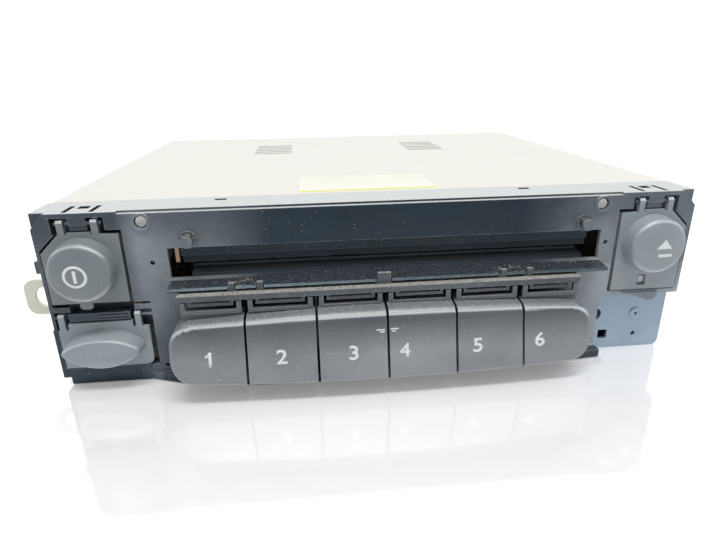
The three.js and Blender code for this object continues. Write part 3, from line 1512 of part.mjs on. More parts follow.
piece(radio, 'amplifier', amplifier(), 'darkPlastic',
  [sinkX + ampOffset, mainBoardBack, boardTop + fitGap]);

// Rear sockets and the finned heat sink

function connectorBlock() {
  const half = connectorWidth / 2;
  const body = box(-half, half, -connectorFront, connectorBack, -connectorHeight / 2,
    connectorHeight / 2);
  const gap = (connectorHeight - socketHeight * 2) / 3;
  const levels = [-(socketHeight + gap) / 2, (socketHeight + gap) / 2];
  const sockets = levels.map((z) => box(-socketWidth / 2, socketWidth / 2,
    connectorBack - socketDepth, connectorBack + overrun, z - socketHeight / 2,
    z + socketHeight / 2));
  const pins = levels.flatMap((z) => Array.from({ length: socketPins * 2 }, (unused, index) => {
    const row = index < socketPins ? -1 : 1;
    const x = (index % socketPins - (socketPins - 1) / 2) * socketWidth / socketPins;
    const pinZ = z + row * socketHeight / 4;
    const root = connectorBack - socketDepth - socketPinSize;
    return box(x - socketPinSize / 2, x + socketPinSize / 2, root,
      root + socketPinSize + socketPinLength, pinZ - socketPinSize / 2, pinZ + socketPinSize / 2);
  }));
  return join(cut(body, sockets), pins);
}

piece(radio, 'connector_block', connectorBlock(), 'darkPlastic',
  [connectorX, caseBack, connectorLevel]);

function aerialSocket() {
  const back = aerialLength;
  const start = -sheet - fitGap - sheet;
  const geometry = new THREE.LatheGeometry([
    [0, start], [aerialFlange, start], [aerialFlange, start + sheet], [aerialRadius, start + sheet],
    [aerialRadius, back], [aerialBore, back], [aerialBore, 0], [aerialContact, 0],
    [aerialContact, back / 4], [0, back / 4],
  ].map(([radius, height]) => new THREE.Vector2(radius, height)), roundSides);
  return toSolid(geometry);
}

piece(radio, 'aerial_socket', aerialSocket(), 'bareSteel', [aerialX, caseBack, aerialLevel]);

function heatSink() {
  const half = sinkWidth / 2;
  const base = box(-half, half, 0, sinkBase, -sinkHeight / 2, sinkHeight / 2);
  const pitch = (sinkWidth - sinkFinThickness) / (sinkFins - 1);
  const fins = Array.from({ length: sinkFins }, (unused, index) => {
    const x = -half + index * pitch;
    return box(x, x + sinkFinThickness, 0, sinkBase + sinkFinHeight, -sinkHeight / 2,
      sinkHeight / 2);
  });
  return join(base, fins);
}

piece(radio, 'heat_sink', heatSink(), 'aluminium', [sinkX, caseBack + fitGap, caseHeight / 2]);

export default radio;
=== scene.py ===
# %% [markdown]
# # A car radio with a disc slot
# The radio lies on a white table with its outer trim taken off, so the black front moulding,
# its hinged keys and the disc slot are all bare. The imported model gives every piece its size and
# place, and this notebook gives the pieces their real edges, finishes, markings and small parts.
# One millimetre is written as MM, because Blender works in metres here.

# %% Load the imported model
import json
import math
import random
from contextlib import contextmanager

import bpy
from mathutils import Matrix, Vector


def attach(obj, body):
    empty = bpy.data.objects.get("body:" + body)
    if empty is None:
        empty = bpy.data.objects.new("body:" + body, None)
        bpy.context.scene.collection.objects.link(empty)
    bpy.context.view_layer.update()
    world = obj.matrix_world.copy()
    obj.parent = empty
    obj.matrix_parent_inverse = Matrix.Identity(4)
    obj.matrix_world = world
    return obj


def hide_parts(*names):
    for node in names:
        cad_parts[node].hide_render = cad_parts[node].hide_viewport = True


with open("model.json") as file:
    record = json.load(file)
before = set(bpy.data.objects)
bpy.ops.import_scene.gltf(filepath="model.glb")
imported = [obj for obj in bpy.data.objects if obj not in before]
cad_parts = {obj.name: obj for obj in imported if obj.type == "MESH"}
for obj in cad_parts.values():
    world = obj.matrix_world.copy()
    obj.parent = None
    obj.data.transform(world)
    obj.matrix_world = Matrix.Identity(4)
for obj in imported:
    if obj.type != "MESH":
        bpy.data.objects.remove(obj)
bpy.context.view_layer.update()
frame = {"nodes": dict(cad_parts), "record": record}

MM = 0.001
bpy.ops.object.select_all(action="DESELECT")

# %% [markdown]
# ## Camera
# The photograph looks down on the front from a little left of the middle. A camera can be placed
# by eye, or solved from points whose real places are known. Here the place, the three turns and
# the lens come from such a fit, and the three camera axes are written straight into its matrix.

# %% Place the camera
CAMERA_PLACE = Vector((-19.27, -217.51, 82.58)) * MM
TURN_RIGHT, TURN_DOWN, ROLL = (math.radians(angle) for angle in (5.61, 20.71, -0.85))
FOCAL_PIXELS, PICTURE_WIDTH, SENSOR_WIDTH = 527.38, 722, 36

forward = Vector((math.sin(TURN_RIGHT) * math.cos(TURN_DOWN),
                  math.cos(TURN_RIGHT) * math.cos(TURN_DOWN), -math.sin(TURN_DOWN)))
level_right = Vector((math.cos(TURN_RIGHT), -math.sin(TURN_RIGHT), 0))
level_up = level_right.cross(forward)
camera_right = level_right * math.cos(ROLL) + level_up * math.sin(ROLL)
camera_up = level_up * math.cos(ROLL) - level_right * math.sin(ROLL)

bpy.ops.object.camera_add()
camera = bpy.context.object
camera.data.sensor_width = SENSOR_WIDTH
camera.data.lens = FOCAL_PIXELS * SENSOR_WIDTH / PICTURE_WIDTH
camera.data.clip_start = 10 * MM
camera.matrix_world = Matrix((camera_right, camera_up, -forward)).transposed().to_4x4()
camera.location = CAMERA_PLACE
bpy.context.scene.camera = camera
print("lens", round(camera.data.lens, 2), "mm")

# %% [markdown]
# ## Node helpers
# Materials are easier to read when a node is made, set and linked in one line. The helper takes
# the node's type and values for its sockets, which are named, or numbered as i0, i1 and so on. A
# value that is itself a socket is linked, and anything else becomes the socket's default.

# %% Small helpers for node trees
def node(tree, kind, settings=None, **inputs):
    made = tree.nodes.new(kind)
    for name, value in (settings or {}).items():
        setattr(made, name, value)
    for name, value in inputs.items():
        socket = made.inputs[int(name[1:])] if name[1:].isdigit() else made.inputs[name.replace("_", " ")]
        if isinstance(value, bpy.types.NodeSocket):
            tree.links.new(value, socket)
        else:
            socket.default_value = value
    return made


def mixed(tree, factor, first, second):
    """Blends two colours, which may be values or sockets"""
    return node(tree, "ShaderNodeMix", {"data_type": "RGBA"}, i0=factor, i6=first, i7=second).outputs[2]


def maths(tree, operation, first, second=0.0):
    return node(tree, "ShaderNodeMath", {"operation": operation}, i0=first, i1=second).outputs[0]


def times(tree, first, second):
    return maths(tree, "MULTIPLY", first, second)


def ranged(tree, value, low, high, to_low=0.0, to_high=1.0):
    """Spreads a value from one range over another, and stays inside it"""
    return node(tree, "ShaderNodeMapRange", {"clamp": True}, Value=value, From_Min=low, From_Max=high,
                To_Min=to_low, To_Max=to_high).outputs[0]


def own_place(tree):
    """The place on the piece itself, so a pattern stays with the piece when it moves"""
    return node(tree, "ShaderNodeTexCoord").outputs["Object"]


def parts_of(tree, vector):
    return node(tree, "ShaderNodeSeparateXYZ", i0=vector).outputs


def facing_parts(tree):
    """How far the face looks along X, Y and Z"""
    return parts_of(tree, node(tree, "ShaderNodeNewGeometry").outputs["Normal"])


def random_values(tree, cells):
    return node(tree, "ShaderNodeSeparateColor", i0=cells["Color"]).outputs


def raised(tree, height, distance, strength=1.0):
    """Bends the normal as a relief this many millimetres high would"""
    bump = node(tree, "ShaderNodeBump", Strength=strength, Distance=distance * MM, Height=height)
    return bump.outputs[0]


def new_material(name):
    """A fresh material with its node tree and its shader"""
    material = bpy.data.materials.new(name)
    material.use_nodes = True
    return material, material.node_tree, material.node_tree.nodes["Principled BSDF"]


def linear(red, green, blue):
    """A colour read off a screen, from 0 to 255, as the linear colour that shaders use"""
    return tuple((c / 255 / 12.92) if c <= 10 else ((c / 255 + 0.055) / 1.055) ** 2.4
                 for c in (red, green, blue)) + (1.0,)

# %% [markdown]
# ## Studio
# The radio stands on a lacquered white table in a bright white room. A photographer's paper cove
# would do, but here the far edge of one broad table top simply drowns in the white of the room.
# The lacquer mirrors the lower edges of the keys, and it still takes the shadow of the front. It
# looks a little whiter to the camera alone, so that its brightness doesn't light the radio.

# %% White table
def just_made(name):
    """Names what the last operator made and hands it on"""
    piece = bpy.context.object
    piece.name = name
    return piece


bpy.ops.mesh.primitive_plane_add(size=12)
table = just_made("table_top")

CAMERA_LIFT = 0.2
table_paint, tree, _ = new_material("white_lacquer")
tree.nodes.clear()
output = node(tree, "ShaderNodeOutputMaterial")
matt = node(tree, "ShaderNodeBsdfDiffuse", i0=(0.93, 0.93, 0.94, 1))
gloss = node(tree, "ShaderNodeBsdfGlossy", i0=(0.97, 0.97, 0.98, 1), i1=0.09)
sheen = node(tree, "ShaderNodeLayerWeight", i0=0.28)
lacquer = node(tree, "ShaderNodeMixShader", i0=sheen.outputs["Facing"], i1=matt.outputs[0],
               i2=gloss.outputs[0])
seen = node(tree, "ShaderNodeLightPath")
glow = times(tree, seen.outputs["Is Camera Ray"], CAMERA_LIFT)
lift = node(tree, "ShaderNodeEmission", i0=(1, 1, 1, 1), i1=glow)
whole = node(tree, "ShaderNodeAddShader", i0=lacquer.outputs[0], i1=lift.outputs[0])
tree.links.new(whole.outputs[0], output.inputs["Surface"])
table.data.materials.append(table_paint)
print("table:", round(table.dimensions.x, 1), "m wide")

# %% [markdown]
# ## Light
# A bleached white surround with one soft light behind the radio gives the pale top faces, and a
# narrow box overhead draws the bright lines along the upper edges of the keys and round buttons,
# which a painted highlight in their colour makes stronger.
# The world is plain white where the camera, a reflection or a clear piece looks at it, and weaker
# where it only lights the object, so that a colour renders about as it is written. White all
# round would make the key faces flat, so a dark card stands behind the camera, as a photographer
# would put it. The keys mirror it, and their lower rims still mirror the white table.

# %% White world with a weaker fill
FILL = 0.56
world = bpy.data.worlds.new("white_room")
bpy.context.scene.world = world
world.use_nodes = True
tree = world.node_tree
tree.nodes.clear()
seen = node(tree, "ShaderNodeLightPath")
looked_at = maths(tree, "MAXIMUM", seen.outputs["Is Camera Ray"], seen.outputs["Is Glossy Ray"])
looked_at = maths(tree, "MAXIMUM", looked_at, seen.outputs["Is Transmission Ray"])
strength = ranged(tree, looked_at, 0.0, 1.0, FILL, 1.0)
sky = node(tree, "ShaderNodeBackground", i0=(1, 1, 1, 1), i1=strength)
output = node(tree, "ShaderNodeOutputWorld")
tree.links.new(sky.outputs[0], output.inputs["Surface"])

# %% Soft boxes
def soft_box(name, place, aim, width, height, power):
    bpy.ops.object.light_add(type="AREA", location=place)
    lamp = just_made(name)
    lamp.data.shape = "RECTANGLE"
    lamp.data.size, lamp.data.size_y, lamp.data.energy = width, height, power
    lamp.rotation_euler = (Vector(aim) - Vector(place)).to_track_quat("-Z", "Y").to_euler()


soft_box("behind", (0.1, 0.8, 0.42), (0, 0, 0), 1.8, 0.5, 1.2)
soft_box("overhead", (0.02, -0.28, 0.85), (0, -0.08, 0.03), 0.62, 0.15, 4.0)
bpy.context.scene.view_settings.view_transform = "Standard"
print("fill", FILL)

# %% Dark card behind the camera
CARD_WIDTH, CARD_HEIGHT = 1.9, 0.6
bpy.ops.mesh.primitive_plane_add(size=1, location=(0, -0.75, 0.3), rotation=(math.radians(90), 0, 0))
card = just_made("dark_card")
bpy.ops.object.mode_set(mode="EDIT")
bpy.ops.transform.resize(value=(CARD_WIDTH, 1, CARD_HEIGHT))
bpy.ops.object.mode_set(mode="OBJECT")
card_paint, tree, shader = new_material("matt_card")
weave = node(tree, "ShaderNodeTexNoise", Scale=300.0).outputs["Fac"]
tree.links.new(mixed(tree, weave, (0.11, 0.12, 0.14, 1), (0.15, 0.16, 0.18, 1)), shader.inputs["Base Color"])
shader.inputs["Roughness"].default_value = 0.9
card.data.materials.append(card_paint)

# %% [markdown]
# ## Shared surface effects
# Dust, moulded grain, scuffs and the flakes in a zinc coat all turn up on more than one finish.
# Each is built once as a node group that gives out masks, colours or heights, and each material
# places it with its own values. All of them read Object coordinates, so they stay on the piece.

# %% Make an empty node group with named sockets
def effect(name, inputs, outputs):
    group = bpy.data.node_groups.new(name, "ShaderNodeTree")
    for label, default in inputs.items():
        kind = "NodeSocketColor" if isinstance(default, tuple) else "NodeSocketFloat"
        group.interface.new_socket(label, in_out="INPUT", socket_type=kind).default_value = default
    for label, kind in outputs.items():
        group.interface.new_socket(label, in_out="OUTPUT", socket_type="NodeSocket" + kind)
    return group, node(group, "NodeGroupInput").outputs, node(group, "NodeGroupOutput").inputs


def placed(tree, group, **values):
    """Puts a group into a material with that material's own values"""
    return node(tree, "ShaderNodeGroup", {"node_tree": group}, **values).outputs


def noise(tree, coordinates, scale, detail=2.0, roughness=0.5):
    return node(tree, "ShaderNodeTexNoise", Vector=coordinates, Scale=scale, Detail=detail,
                Roughness=roughness).outputs["Fac"]


def stretched(tree, coordinates, scale, turn=(0, 0, 0)):
    return node(tree, "ShaderNodeMapping", Vector=coordinates, Scale=scale, Rotation=turn).outputs[0]

# %% [markdown]
# Dust on a used radio comes in three kinds: loose specks, a thin film in patches, and powder
# that settled on faces that look up. A cell pattern gives the specks. Only the cells with a high
# random value get one, and its size follows that value, so the specks are sparse and uneven.

# %% Dust group
dust, given, gives = effect(
    "dust", {"Specks": 0.2, "Film": 0.3, "Settled": 0.4, "Speck Scale": 1900.0},
    {"Mask": "Float", "Specks Mask": "Float", "Bed Mask": "Float", "Speck Colour": "Color",
     "Height": "Float"})
spot = own_place(dust)
cells = node(dust, "ShaderNodeTexVoronoi", Vector=spot, Scale=given["Speck Scale"]).outputs
chance = random_values(dust, cells)
facing = facing_parts(dust)[2]
held = times(dust, given["Specks"], ranged(dust, facing, -0.2, 0.7, 0.35, 1.5))
size = ranged(dust, chance[0], maths(dust, "SUBTRACT", 1.0, held), 1.0, 0.0, 0.26)
specks = ranged(dust, maths(dust, "SUBTRACT", size, cells["Distance"]), 0.0, 0.08)
patches = noise(dust, spot, 34.0, 4.0, 0.6)
powder = noise(dust, spot, 1500.0, 3.0, 0.7)
film = times(dust, given["Film"], ranged(dust, patches, 0.3, 0.7, 0.4, 1.0))
bed = times(dust, ranged(dust, facing, 0.25, 0.9), ranged(dust, powder, 0.36, 0.6, 0.25, 1.0))
bed = times(dust, bed, given["Settled"])
mask = maths(dust, "ADD", maths(dust, "MAXIMUM", film, bed), times(dust, specks, 0.8))
dust.links.new(ranged(dust, mask, 0.0, 1.0), gives["Mask"])
dust.links.new(specks, gives["Specks Mask"])
dust.links.new(bed, gives["Bed Mask"])
warm = ranged(dust, chance[1], 0.7, 1.0)
dust.links.new(mixed(dust, warm, (0.86, 0.85, 0.82, 1), (0.78, 0.6, 0.5, 1)), gives["Speck Colour"])
dust.links.new(maths(dust, "ADD", specks, times(dust, bed, powder)), gives["Height"])
print("dust group:", len(dust.nodes), "nodes")

# %% [markdown]
# Moulded plastic carries the fine etched grain of its mould, and hands leave short scuffs on it.
# A scuff is noise that is pulled out along one direction, with only its thin crests kept.

# %% Grain and scuffs
grain, given, gives = effect("moulded_grain", {"Scale": 2600.0}, {"Height": "Float", "Shade": "Float"})
spot = own_place(grain)
grain.links.new(noise(grain, spot, given["Scale"], 3.0, 0.65), gives["Height"])
grain.links.new(noise(grain, spot, 60.0, 3.0, 0.55), gives["Shade"])

scuffs, given, gives = effect("scuffs", {"Amount": 0.5}, {"Mask": "Float"})
spot = own_place(scuffs)
across = noise(scuffs, stretched(scuffs, spot, (90, 1400, 1400), (0, 0.5, 0.2)), 1.0, 1.0)
across = ranged(scuffs, across, 0.69, 0.73)
along = noise(scuffs, stretched(scuffs, spot, (1200, 1200, 70), (0.3, 0.2, 0)), 1.0, 1.0)
along = ranged(scuffs, along, 0.7, 0.74)
where = ranged(scuffs, noise(scuffs, spot, 45.0), 0.42, 0.62)
marks = times(scuffs, maths(scuffs, "MAXIMUM", across, along), where)
scuffs.links.new(times(scuffs, marks, given["Amount"]), gives["Mask"])

# %% [markdown]
# Edges are touched first, so they are worn lighter than the faces, and the same lighter colour is
# also a painted highlight, the bright line that a rounded edge catches. The Bevel node gives the
# normal that a rounded edge would have, and where this differs from the flat normal there is an
# edge. Noise breaks the mask up, because no edge is worn evenly.

# %% Worn and painted bright edges
worn_and_glinting_edges, given, gives = effect("edge_wear_and_painted_glint", {"Reach": 0.35, "Amount": 1.0}, {"Mask": "Float"})
spot = own_place(worn_and_glinting_edges)
rounded = node(worn_and_glinting_edges, "ShaderNodeBevel", {"samples": 4}, Radius=times(worn_and_glinting_edges, given["Reach"], MM))
flat = node(worn_and_glinting_edges, "ShaderNodeNewGeometry").outputs["True Normal"]
match = node(worn_and_glinting_edges, "ShaderNodeVectorMath", {"operation": "DOT_PRODUCT"}, i0=rounded.outputs[0], i1=flat)
edge = ranged(worn_and_glinting_edges, match.outputs["Value"], 0.995, 0.86)
broken = ranged(worn_and_glinting_edges, noise(worn_and_glinting_edges, spot, 420.0, 3.0, 0.6), 0.34, 0.6, 0.25, 1.0)
worn_and_glinting_edges.links.new(times(worn_and_glinting_edges, times(worn_and_glinting_edges, edge, broken), given["Amount"]), gives["Mask"])

# %% [markdown]
# The round upper edges of keys and buttons catch a thin light line from the lamp overhead, and a
# painted highlight in their colour makes this line. Such an edge is where the surface turns from
# facing forward to facing up, so its normal gives the mask, and edges that face right get more of
# it. The lower edges get a fainter painted line, a painted reflection of the white table, where the
# surface turns to facing down.

# %% Painted highlights on the crests
edge_highlight, given, gives = effect("painted_crest_lines", {"Low": 0.38, "High": 0.78}, {"Mask": "Float"})
facing = facing_parts(edge_highlight)
middle = times(edge_highlight, maths(edge_highlight, "ADD", given["Low"], given["High"]), 0.5)
band = times(edge_highlight, ranged(edge_highlight, facing[2], given["Low"], middle),
             ranged(edge_highlight, facing[2], given["High"], middle))
lower_highlight = times(edge_highlight, ranged(edge_highlight, facing[2], -0.2, -0.45), ranged(edge_highlight, facing[2], -0.85, -0.55))
band = maths(edge_highlight, "MAXIMUM", band, times(edge_highlight, lower_highlight, 0.8))
band = times(edge_highlight, band, ranged(edge_highlight, facing[1], -0.25, -0.5))
edge_highlight.links.new(times(edge_highlight, band, ranged(edge_highlight, facing[0], -0.7, 0.3, 0.6, 1.0)), gives["Mask"])

# %% [markdown]
# Sheet steel for such cases is coated with zinc, which sets in flat flakes that each catch the
# light a little differently, and rolling leaves faint streaks along the sheet. A cell pattern
# gives one random value to each flake, and pulled-out noise gives the streaks.

# %% Zinc flakes and rolling streaks
flakes, given, gives = effect("zinc_flakes", {"Scale": 160.0, "Streak": 0.5},
                              {"Shade": "Float", "Height": "Float"})
spot = own_place(flakes)
drift = node(flakes, "ShaderNodeTexNoise", Vector=spot, Scale=240.0).outputs["Color"]
bent = node(flakes, "ShaderNodeVectorMath", {"operation": "MULTIPLY_ADD"}, i0=drift, i1=(0.004,) * 3, i2=spot)
flake = node(flakes, "ShaderNodeTexVoronoi", Vector=bent.outputs[0], Scale=given["Scale"]).outputs
value = random_values(flakes, flake)[0]
streaks = noise(flakes, stretched(flakes, spot, (900, 14, 900)), 1.0, 4.0, 0.6)
streaks = times(flakes, maths(flakes, "SUBTRACT", streaks, 0.5), given["Streak"])
shade = maths(flakes, "ADD", times(flakes, value, 0.6), maths(flakes, "ADD", streaks, 0.2))
flakes.links.new(shade, gives["Shade"])
flakes.links.new(maths(flakes, "ADD", streaks, noise(flakes, spot, 500.0, 3.0)), gives["Height"])
print("effects:", [g.name for g in bpy.data.node_groups])

# %% [markdown]
# ## Plastics
# All the plastics are one recipe with different values: two close shades in soft patches, the
# grain as a bump, scuffs that are a little lighter, and dust on top, which also makes the gloss
# dull where it lies. The gloss comes from the shader itself, and on the front moulding it lies
# over a colour that is nearly black.

# %% Recipe for a moulded plastic
DUST_HEIGHT = 0.03


def plastic(name, colour, shade, roughness, specks=0.15, film=0.1, settled=0.3, grain_depth=0.006,
            scuffed=0.3, wear_and_glint_on_edges=0.35, film_where=None, settled_where=None,
            dust_colour=linear(176, 172, 162), painted_reflection_tint=(1, 1, 1, 1), mirror_index=1.5, polished=0.0,
            powder_colour=linear(200, 200, 194)):
    material, tree, shader = new_material(name)
    moulded = placed(tree, grain)
    base = mixed(tree, ranged(tree, moulded["Shade"], 0.3, 0.7), colour, shade)
    worn = placed(tree, scuffs, Amount=scuffed)["Mask"]
    base = mixed(tree, worn, base, mixed(tree, 0.5, base, linear(190, 192, 194)))
    # Lighter edges: partly worn, partly a painted highlight
    worn_lit_edge_mask = placed(tree, worn_and_glinting_edges, Amount=wear_and_glint_on_edges)["Mask"]
    base = mixed(tree, worn_lit_edge_mask, base, linear(206, 210, 214))
    # A painted highlight: the upper and lower edges are mixed towards a pale colour
    if polished:
        rim = times(tree, placed(tree, edge_highlight)["Mask"], polished)
        base = mixed(tree, rim, base, linear(228, 235, 238))
    film_value = times(tree, film_where(tree), film) if film_where else film
    settled_value = times(tree, settled_where(tree), settled) if settled_where else settled
    lies = placed(tree, dust, Specks=specks, Film=film_value, Settled=settled_value)
    dusty = mixed(tree, ranged(tree, lies["Bed Mask"], 0.0, 0.5), dust_colour, powder_colour)
    dusty = mixed(tree, lies["Specks Mask"], dusty, lies["Speck Colour"])
    tree.links.new(mixed(tree, lies["Mask"], base, dusty), shader.inputs["Base Color"])
    tree.links.new(ranged(tree, maths(tree, "ADD", lies["Mask"], worn), 0.0, 1.0, roughness, 0.8),
                   shader.inputs["Roughness"])
    height = maths(tree, "ADD", times(tree, moulded["Height"], grain_depth / DUST_HEIGHT), lies["Height"])
    tree.links.new(raised(tree, height, DUST_HEIGHT), shader.inputs["Normal"])
    shader.inputs["IOR"].default_value = mirror_index
    # A painted reflection colour: the blue tint stands in for a bluish surround that the white room lacks
    shader.inputs["Specular Tint"].default_value = painted_reflection_tint
    return material


# %% [markdown]
# The front moulding is the glossiest plastic. A grey-blue film dulls and lightens its left and right
# ends, the place to the right of the key row and the two posts; it is partly dust and partly a
# painted sheen of the light that these places mirror. Powder has whitened the flange on top, and it
# is also a painted reflection of the bright room, while the middle is nearly clean. The film and
# the powder are therefore steered by the place on the piece. The keys get a light film towards
# their lower edge, partly dust and partly a painted reflection of the white table.

# %% Front moulding, rail and guides
# Painted sheen as well as dust: the film is strongest at the ends of the moulding and on the posts
def film_on_plate(tree):
    across, depth, level = parts_of(tree, own_place(tree))
    left = ranged(tree, across, -64 * MM, -30 * MM, 0.92, 0.05)
    left = times(tree, left, ranged(tree, across, -70 * MM, -65 * MM, 0.3, 1.0))
    right = ranged(tree, across, 38 * MM, 64 * MM, 0.0, 0.66)
    ends = times(tree, maths(tree, "MAXIMUM", left, right), ranged(tree, level, 36 * MM, 48 * MM, 1.0, 0.6))
    ends = times(tree, ends, ranged(tree, level, 12 * MM, 32 * MM, 0.3, 1.0))
    beside = times(tree, ranged(tree, across, 54 * MM, 58 * MM), ranged(tree, level, 32 * MM, 28 * MM))
    face = ranged(tree, depth, -81 * MM, -80.4 * MM, 0.1, 1.0)
    posts = times(tree, ranged(tree, level, 38 * MM, 39 * MM),
                  ranged(tree, depth, -81.5 * MM, -82.5 * MM, 0.0, 0.5))
    return maths(tree, "MAXIMUM", times(tree, maths(tree, "MAXIMUM", ends, beside), face), posts)


# Powder on the flange, strong enough to be also a painted reflection of the bright room
def powder_on_flange(tree):
    return ranged(tree, parts_of(tree, own_place(tree))[2], 47 * MM, 49 * MM, 0.055, 1.0)


# Lighter towards the lower edge of the keys: dust and a painted reflection of the white table
def film_on_keys(tree):
    return ranged(tree, parts_of(tree, own_place(tree))[2], 21 * MM, 12.5 * MM, 0.0, 1.0)


# The bluish film colour of the moulding is part of its painted sheen
frame_plastic = plastic("frame_plastic", (0.003, 0.009, 0.017, 1), (0.006, 0.014, 0.024, 1), 0.12,
                        specks=0.14, film=1.3, film_where=film_on_plate, settled=2.4,
                        settled_where=powder_on_flange, grain_depth=0.001, scuffed=0.05, wear_and_glint_on_edges=0.5,
                        dust_colour=linear(182, 188, 194), powder_colour=linear(214, 217, 216),
                        painted_reflection_tint=(0.62, 0.86, 1, 1), mirror_index=1.62)
rail_plastic = plastic("rail_plastic", (0.03, 0.04, 0.052, 1), (0.045, 0.056, 0.07, 1), 0.26,
                       specks=1.0, film=0.35, settled=1.3, dust_colour=linear(166, 172, 178),
                       powder_colour=linear(176, 176, 168))
guide_plastic = plastic("guide_plastic", (0.016, 0.028, 0.038, 1), (0.024, 0.038, 0.05, 1), 0.22,
                        specks=0.16, film=0.06, settled=0.12, painted_reflection_tint=(0.7, 0.9, 1, 1))
# A lighter copy of the guide plastic for the lower guide, its colour lifted as painted light inside the slot
lit_guide_plastic = plastic("lit_guide_plastic", (0.08, 0.112, 0.14, 1), (0.105, 0.14, 0.17, 1), 0.3,
                             specks=0.2, film=0.1, settled=0.1, painted_reflection_tint=(0.7, 0.9, 1, 1))
# Rubber lifted far above its dark grey, as painted light inside the dim slot
lit_roller_rubber = plastic("lit_roller_rubber", linear(96, 116, 128), linear(112, 130, 142), 0.4, specks=0.25,
                        film=0.1, settled=0.1, grain_depth=0.004, scuffed=0.1)

# %% Keys and buttons
key_plastic = plastic("key_plastic", linear(94, 101, 105), linear(106, 112, 117), 0.24, specks=0.3,
                      film=0.75, film_where=film_on_keys, settled=0.35, grain_depth=0.005, scuffed=0.1,
                      dust_colour=linear(176, 179, 182), mirror_index=1.75, polished=1.0)
button_plastic = plastic("button_plastic", linear(108, 120, 126), linear(122, 132, 137), 0.24,
                         specks=0.2, film=0.28, settled=0.3, grain_depth=0.004, scuffed=0.1,
                         dust_colour=linear(186, 192, 194), mirror_index=1.75, polished=0.8)
# A lighter copy of the button plastic for the eject and the lower button, its extra lightness painted light
lit_button_plastic = plastic("lit_button_plastic", linear(138, 153, 160), linear(150, 163, 170), 0.22,
                              specks=0.24, film=0.34, settled=0.35, grain_depth=0.004, scuffed=0.1,
                              dust_colour=linear(190, 196, 198), mirror_index=1.8, polished=0.9)
dark_plastic = plastic("dark_plastic", (0.012, 0.012, 0.013, 1), (0.02, 0.02, 0.021, 1), 0.45,
                       specks=0.05, film=0.1, settled=0.25)

# %% [markdown]
# ## Metals
# A metal's colour is what it mirrors, so its recipe changes the shade from flake to flake and
# mostly plays with roughness. A little dust lies on the faces that look up.

# %% Recipe for a sheet metal
def metal(name, colour, shade, roughness, flake_scale=160.0, streak=0.6, metallic=1.0, film=0.05):
    material, tree, shader = new_material(name)
    zinc = placed(tree, flakes, Scale=flake_scale, Streak=streak)
    base = mixed(tree, ranged(tree, zinc["Shade"], 0.15, 0.85), colour, shade)
    scuffed, worn_lit_edge_mask = placed(tree, scuffs, Amount=0.25)["Mask"], placed(tree, worn_and_glinting_edges, Amount=0.4)["Mask"]
    worn = maths(tree, "MAXIMUM", scuffed, worn_lit_edge_mask)
    base = mixed(tree, times(tree, worn, 0.5), base, linear(238, 238, 236))
    lies = placed(tree, dust, Specks=0.05, Film=film, Settled=0.15)
    tree.links.new(mixed(tree, lies["Mask"], base, linear(205, 202, 190)), shader.inputs["Base Color"])
    rough = ranged(tree, zinc["Shade"], 0.1, 0.9, roughness * 0.8, roughness * 1.25)
    rough = maths(tree, "ADD", rough, times(tree, maths(tree, "MAXIMUM", lies["Mask"], worn), 0.35))
    tree.links.new(rough, shader.inputs["Roughness"])
    shine = ranged(tree, lies["Mask"], 0.0, 1.0, metallic, metallic * 0.2)
    tree.links.new(shine, shader.inputs["Metallic"])
    tree.links.new(raised(tree, zinc["Height"], 0.01, 0.6), shader.inputs["Normal"])
    return material


zinc_sheet = metal("zinc_sheet", linear(220, 220, 213), linear(228, 227, 220), 0.42, flake_scale=260.0,
                   metallic=0.4)
# The bluish grey of the steel front is a painted reflection on its zinc
case_front_reflecting_sheet = metal("case_front_reflecting_sheet", linear(172, 192, 212), linear(183, 202, 220), 0.4,
                         flake_scale=90.0, metallic=0.45)
ear_zinc = metal("ear_zinc", linear(250, 252, 228), linear(254, 255, 240), 0.5, metallic=0.0)
bright_steel = metal("bright_steel", linear(176, 178, 180), linear(200, 201, 203), 0.26, streak=0.9)
cast_aluminium = metal("cast_aluminium", linear(172, 174, 176), linear(196, 198, 200), 0.48,
                       flake_scale=600.0, streak=0.2)
spring_bronze = metal("spring_bronze", linear(196, 152, 122), linear(216, 176, 146), 0.3, flake_scale=300.0)
tinned = metal("tinned_contacts", linear(206, 205, 200), linear(224, 223, 218), 0.3, flake_scale=500.0)
print("finishes so far:", len(bpy.data.materials))

# %% [markdown]
# ## Rubber, boards and glass
# Rubber is matt and takes dust in its pores. A circuit board is a green lacquer over copper
# tracks, which lift the lacquer a little and lighten it. A grid of straight runs, bent by steps
# of random cells, is enough to read as tracks.

# %% Rubber
rubber = plastic("rubber", (0.012, 0.012, 0.012, 1), (0.022, 0.021, 0.02, 1), 0.75, specks=0.1,
                 film=0.15, settled=0.3, grain_depth=0.015, scuffed=0.1)

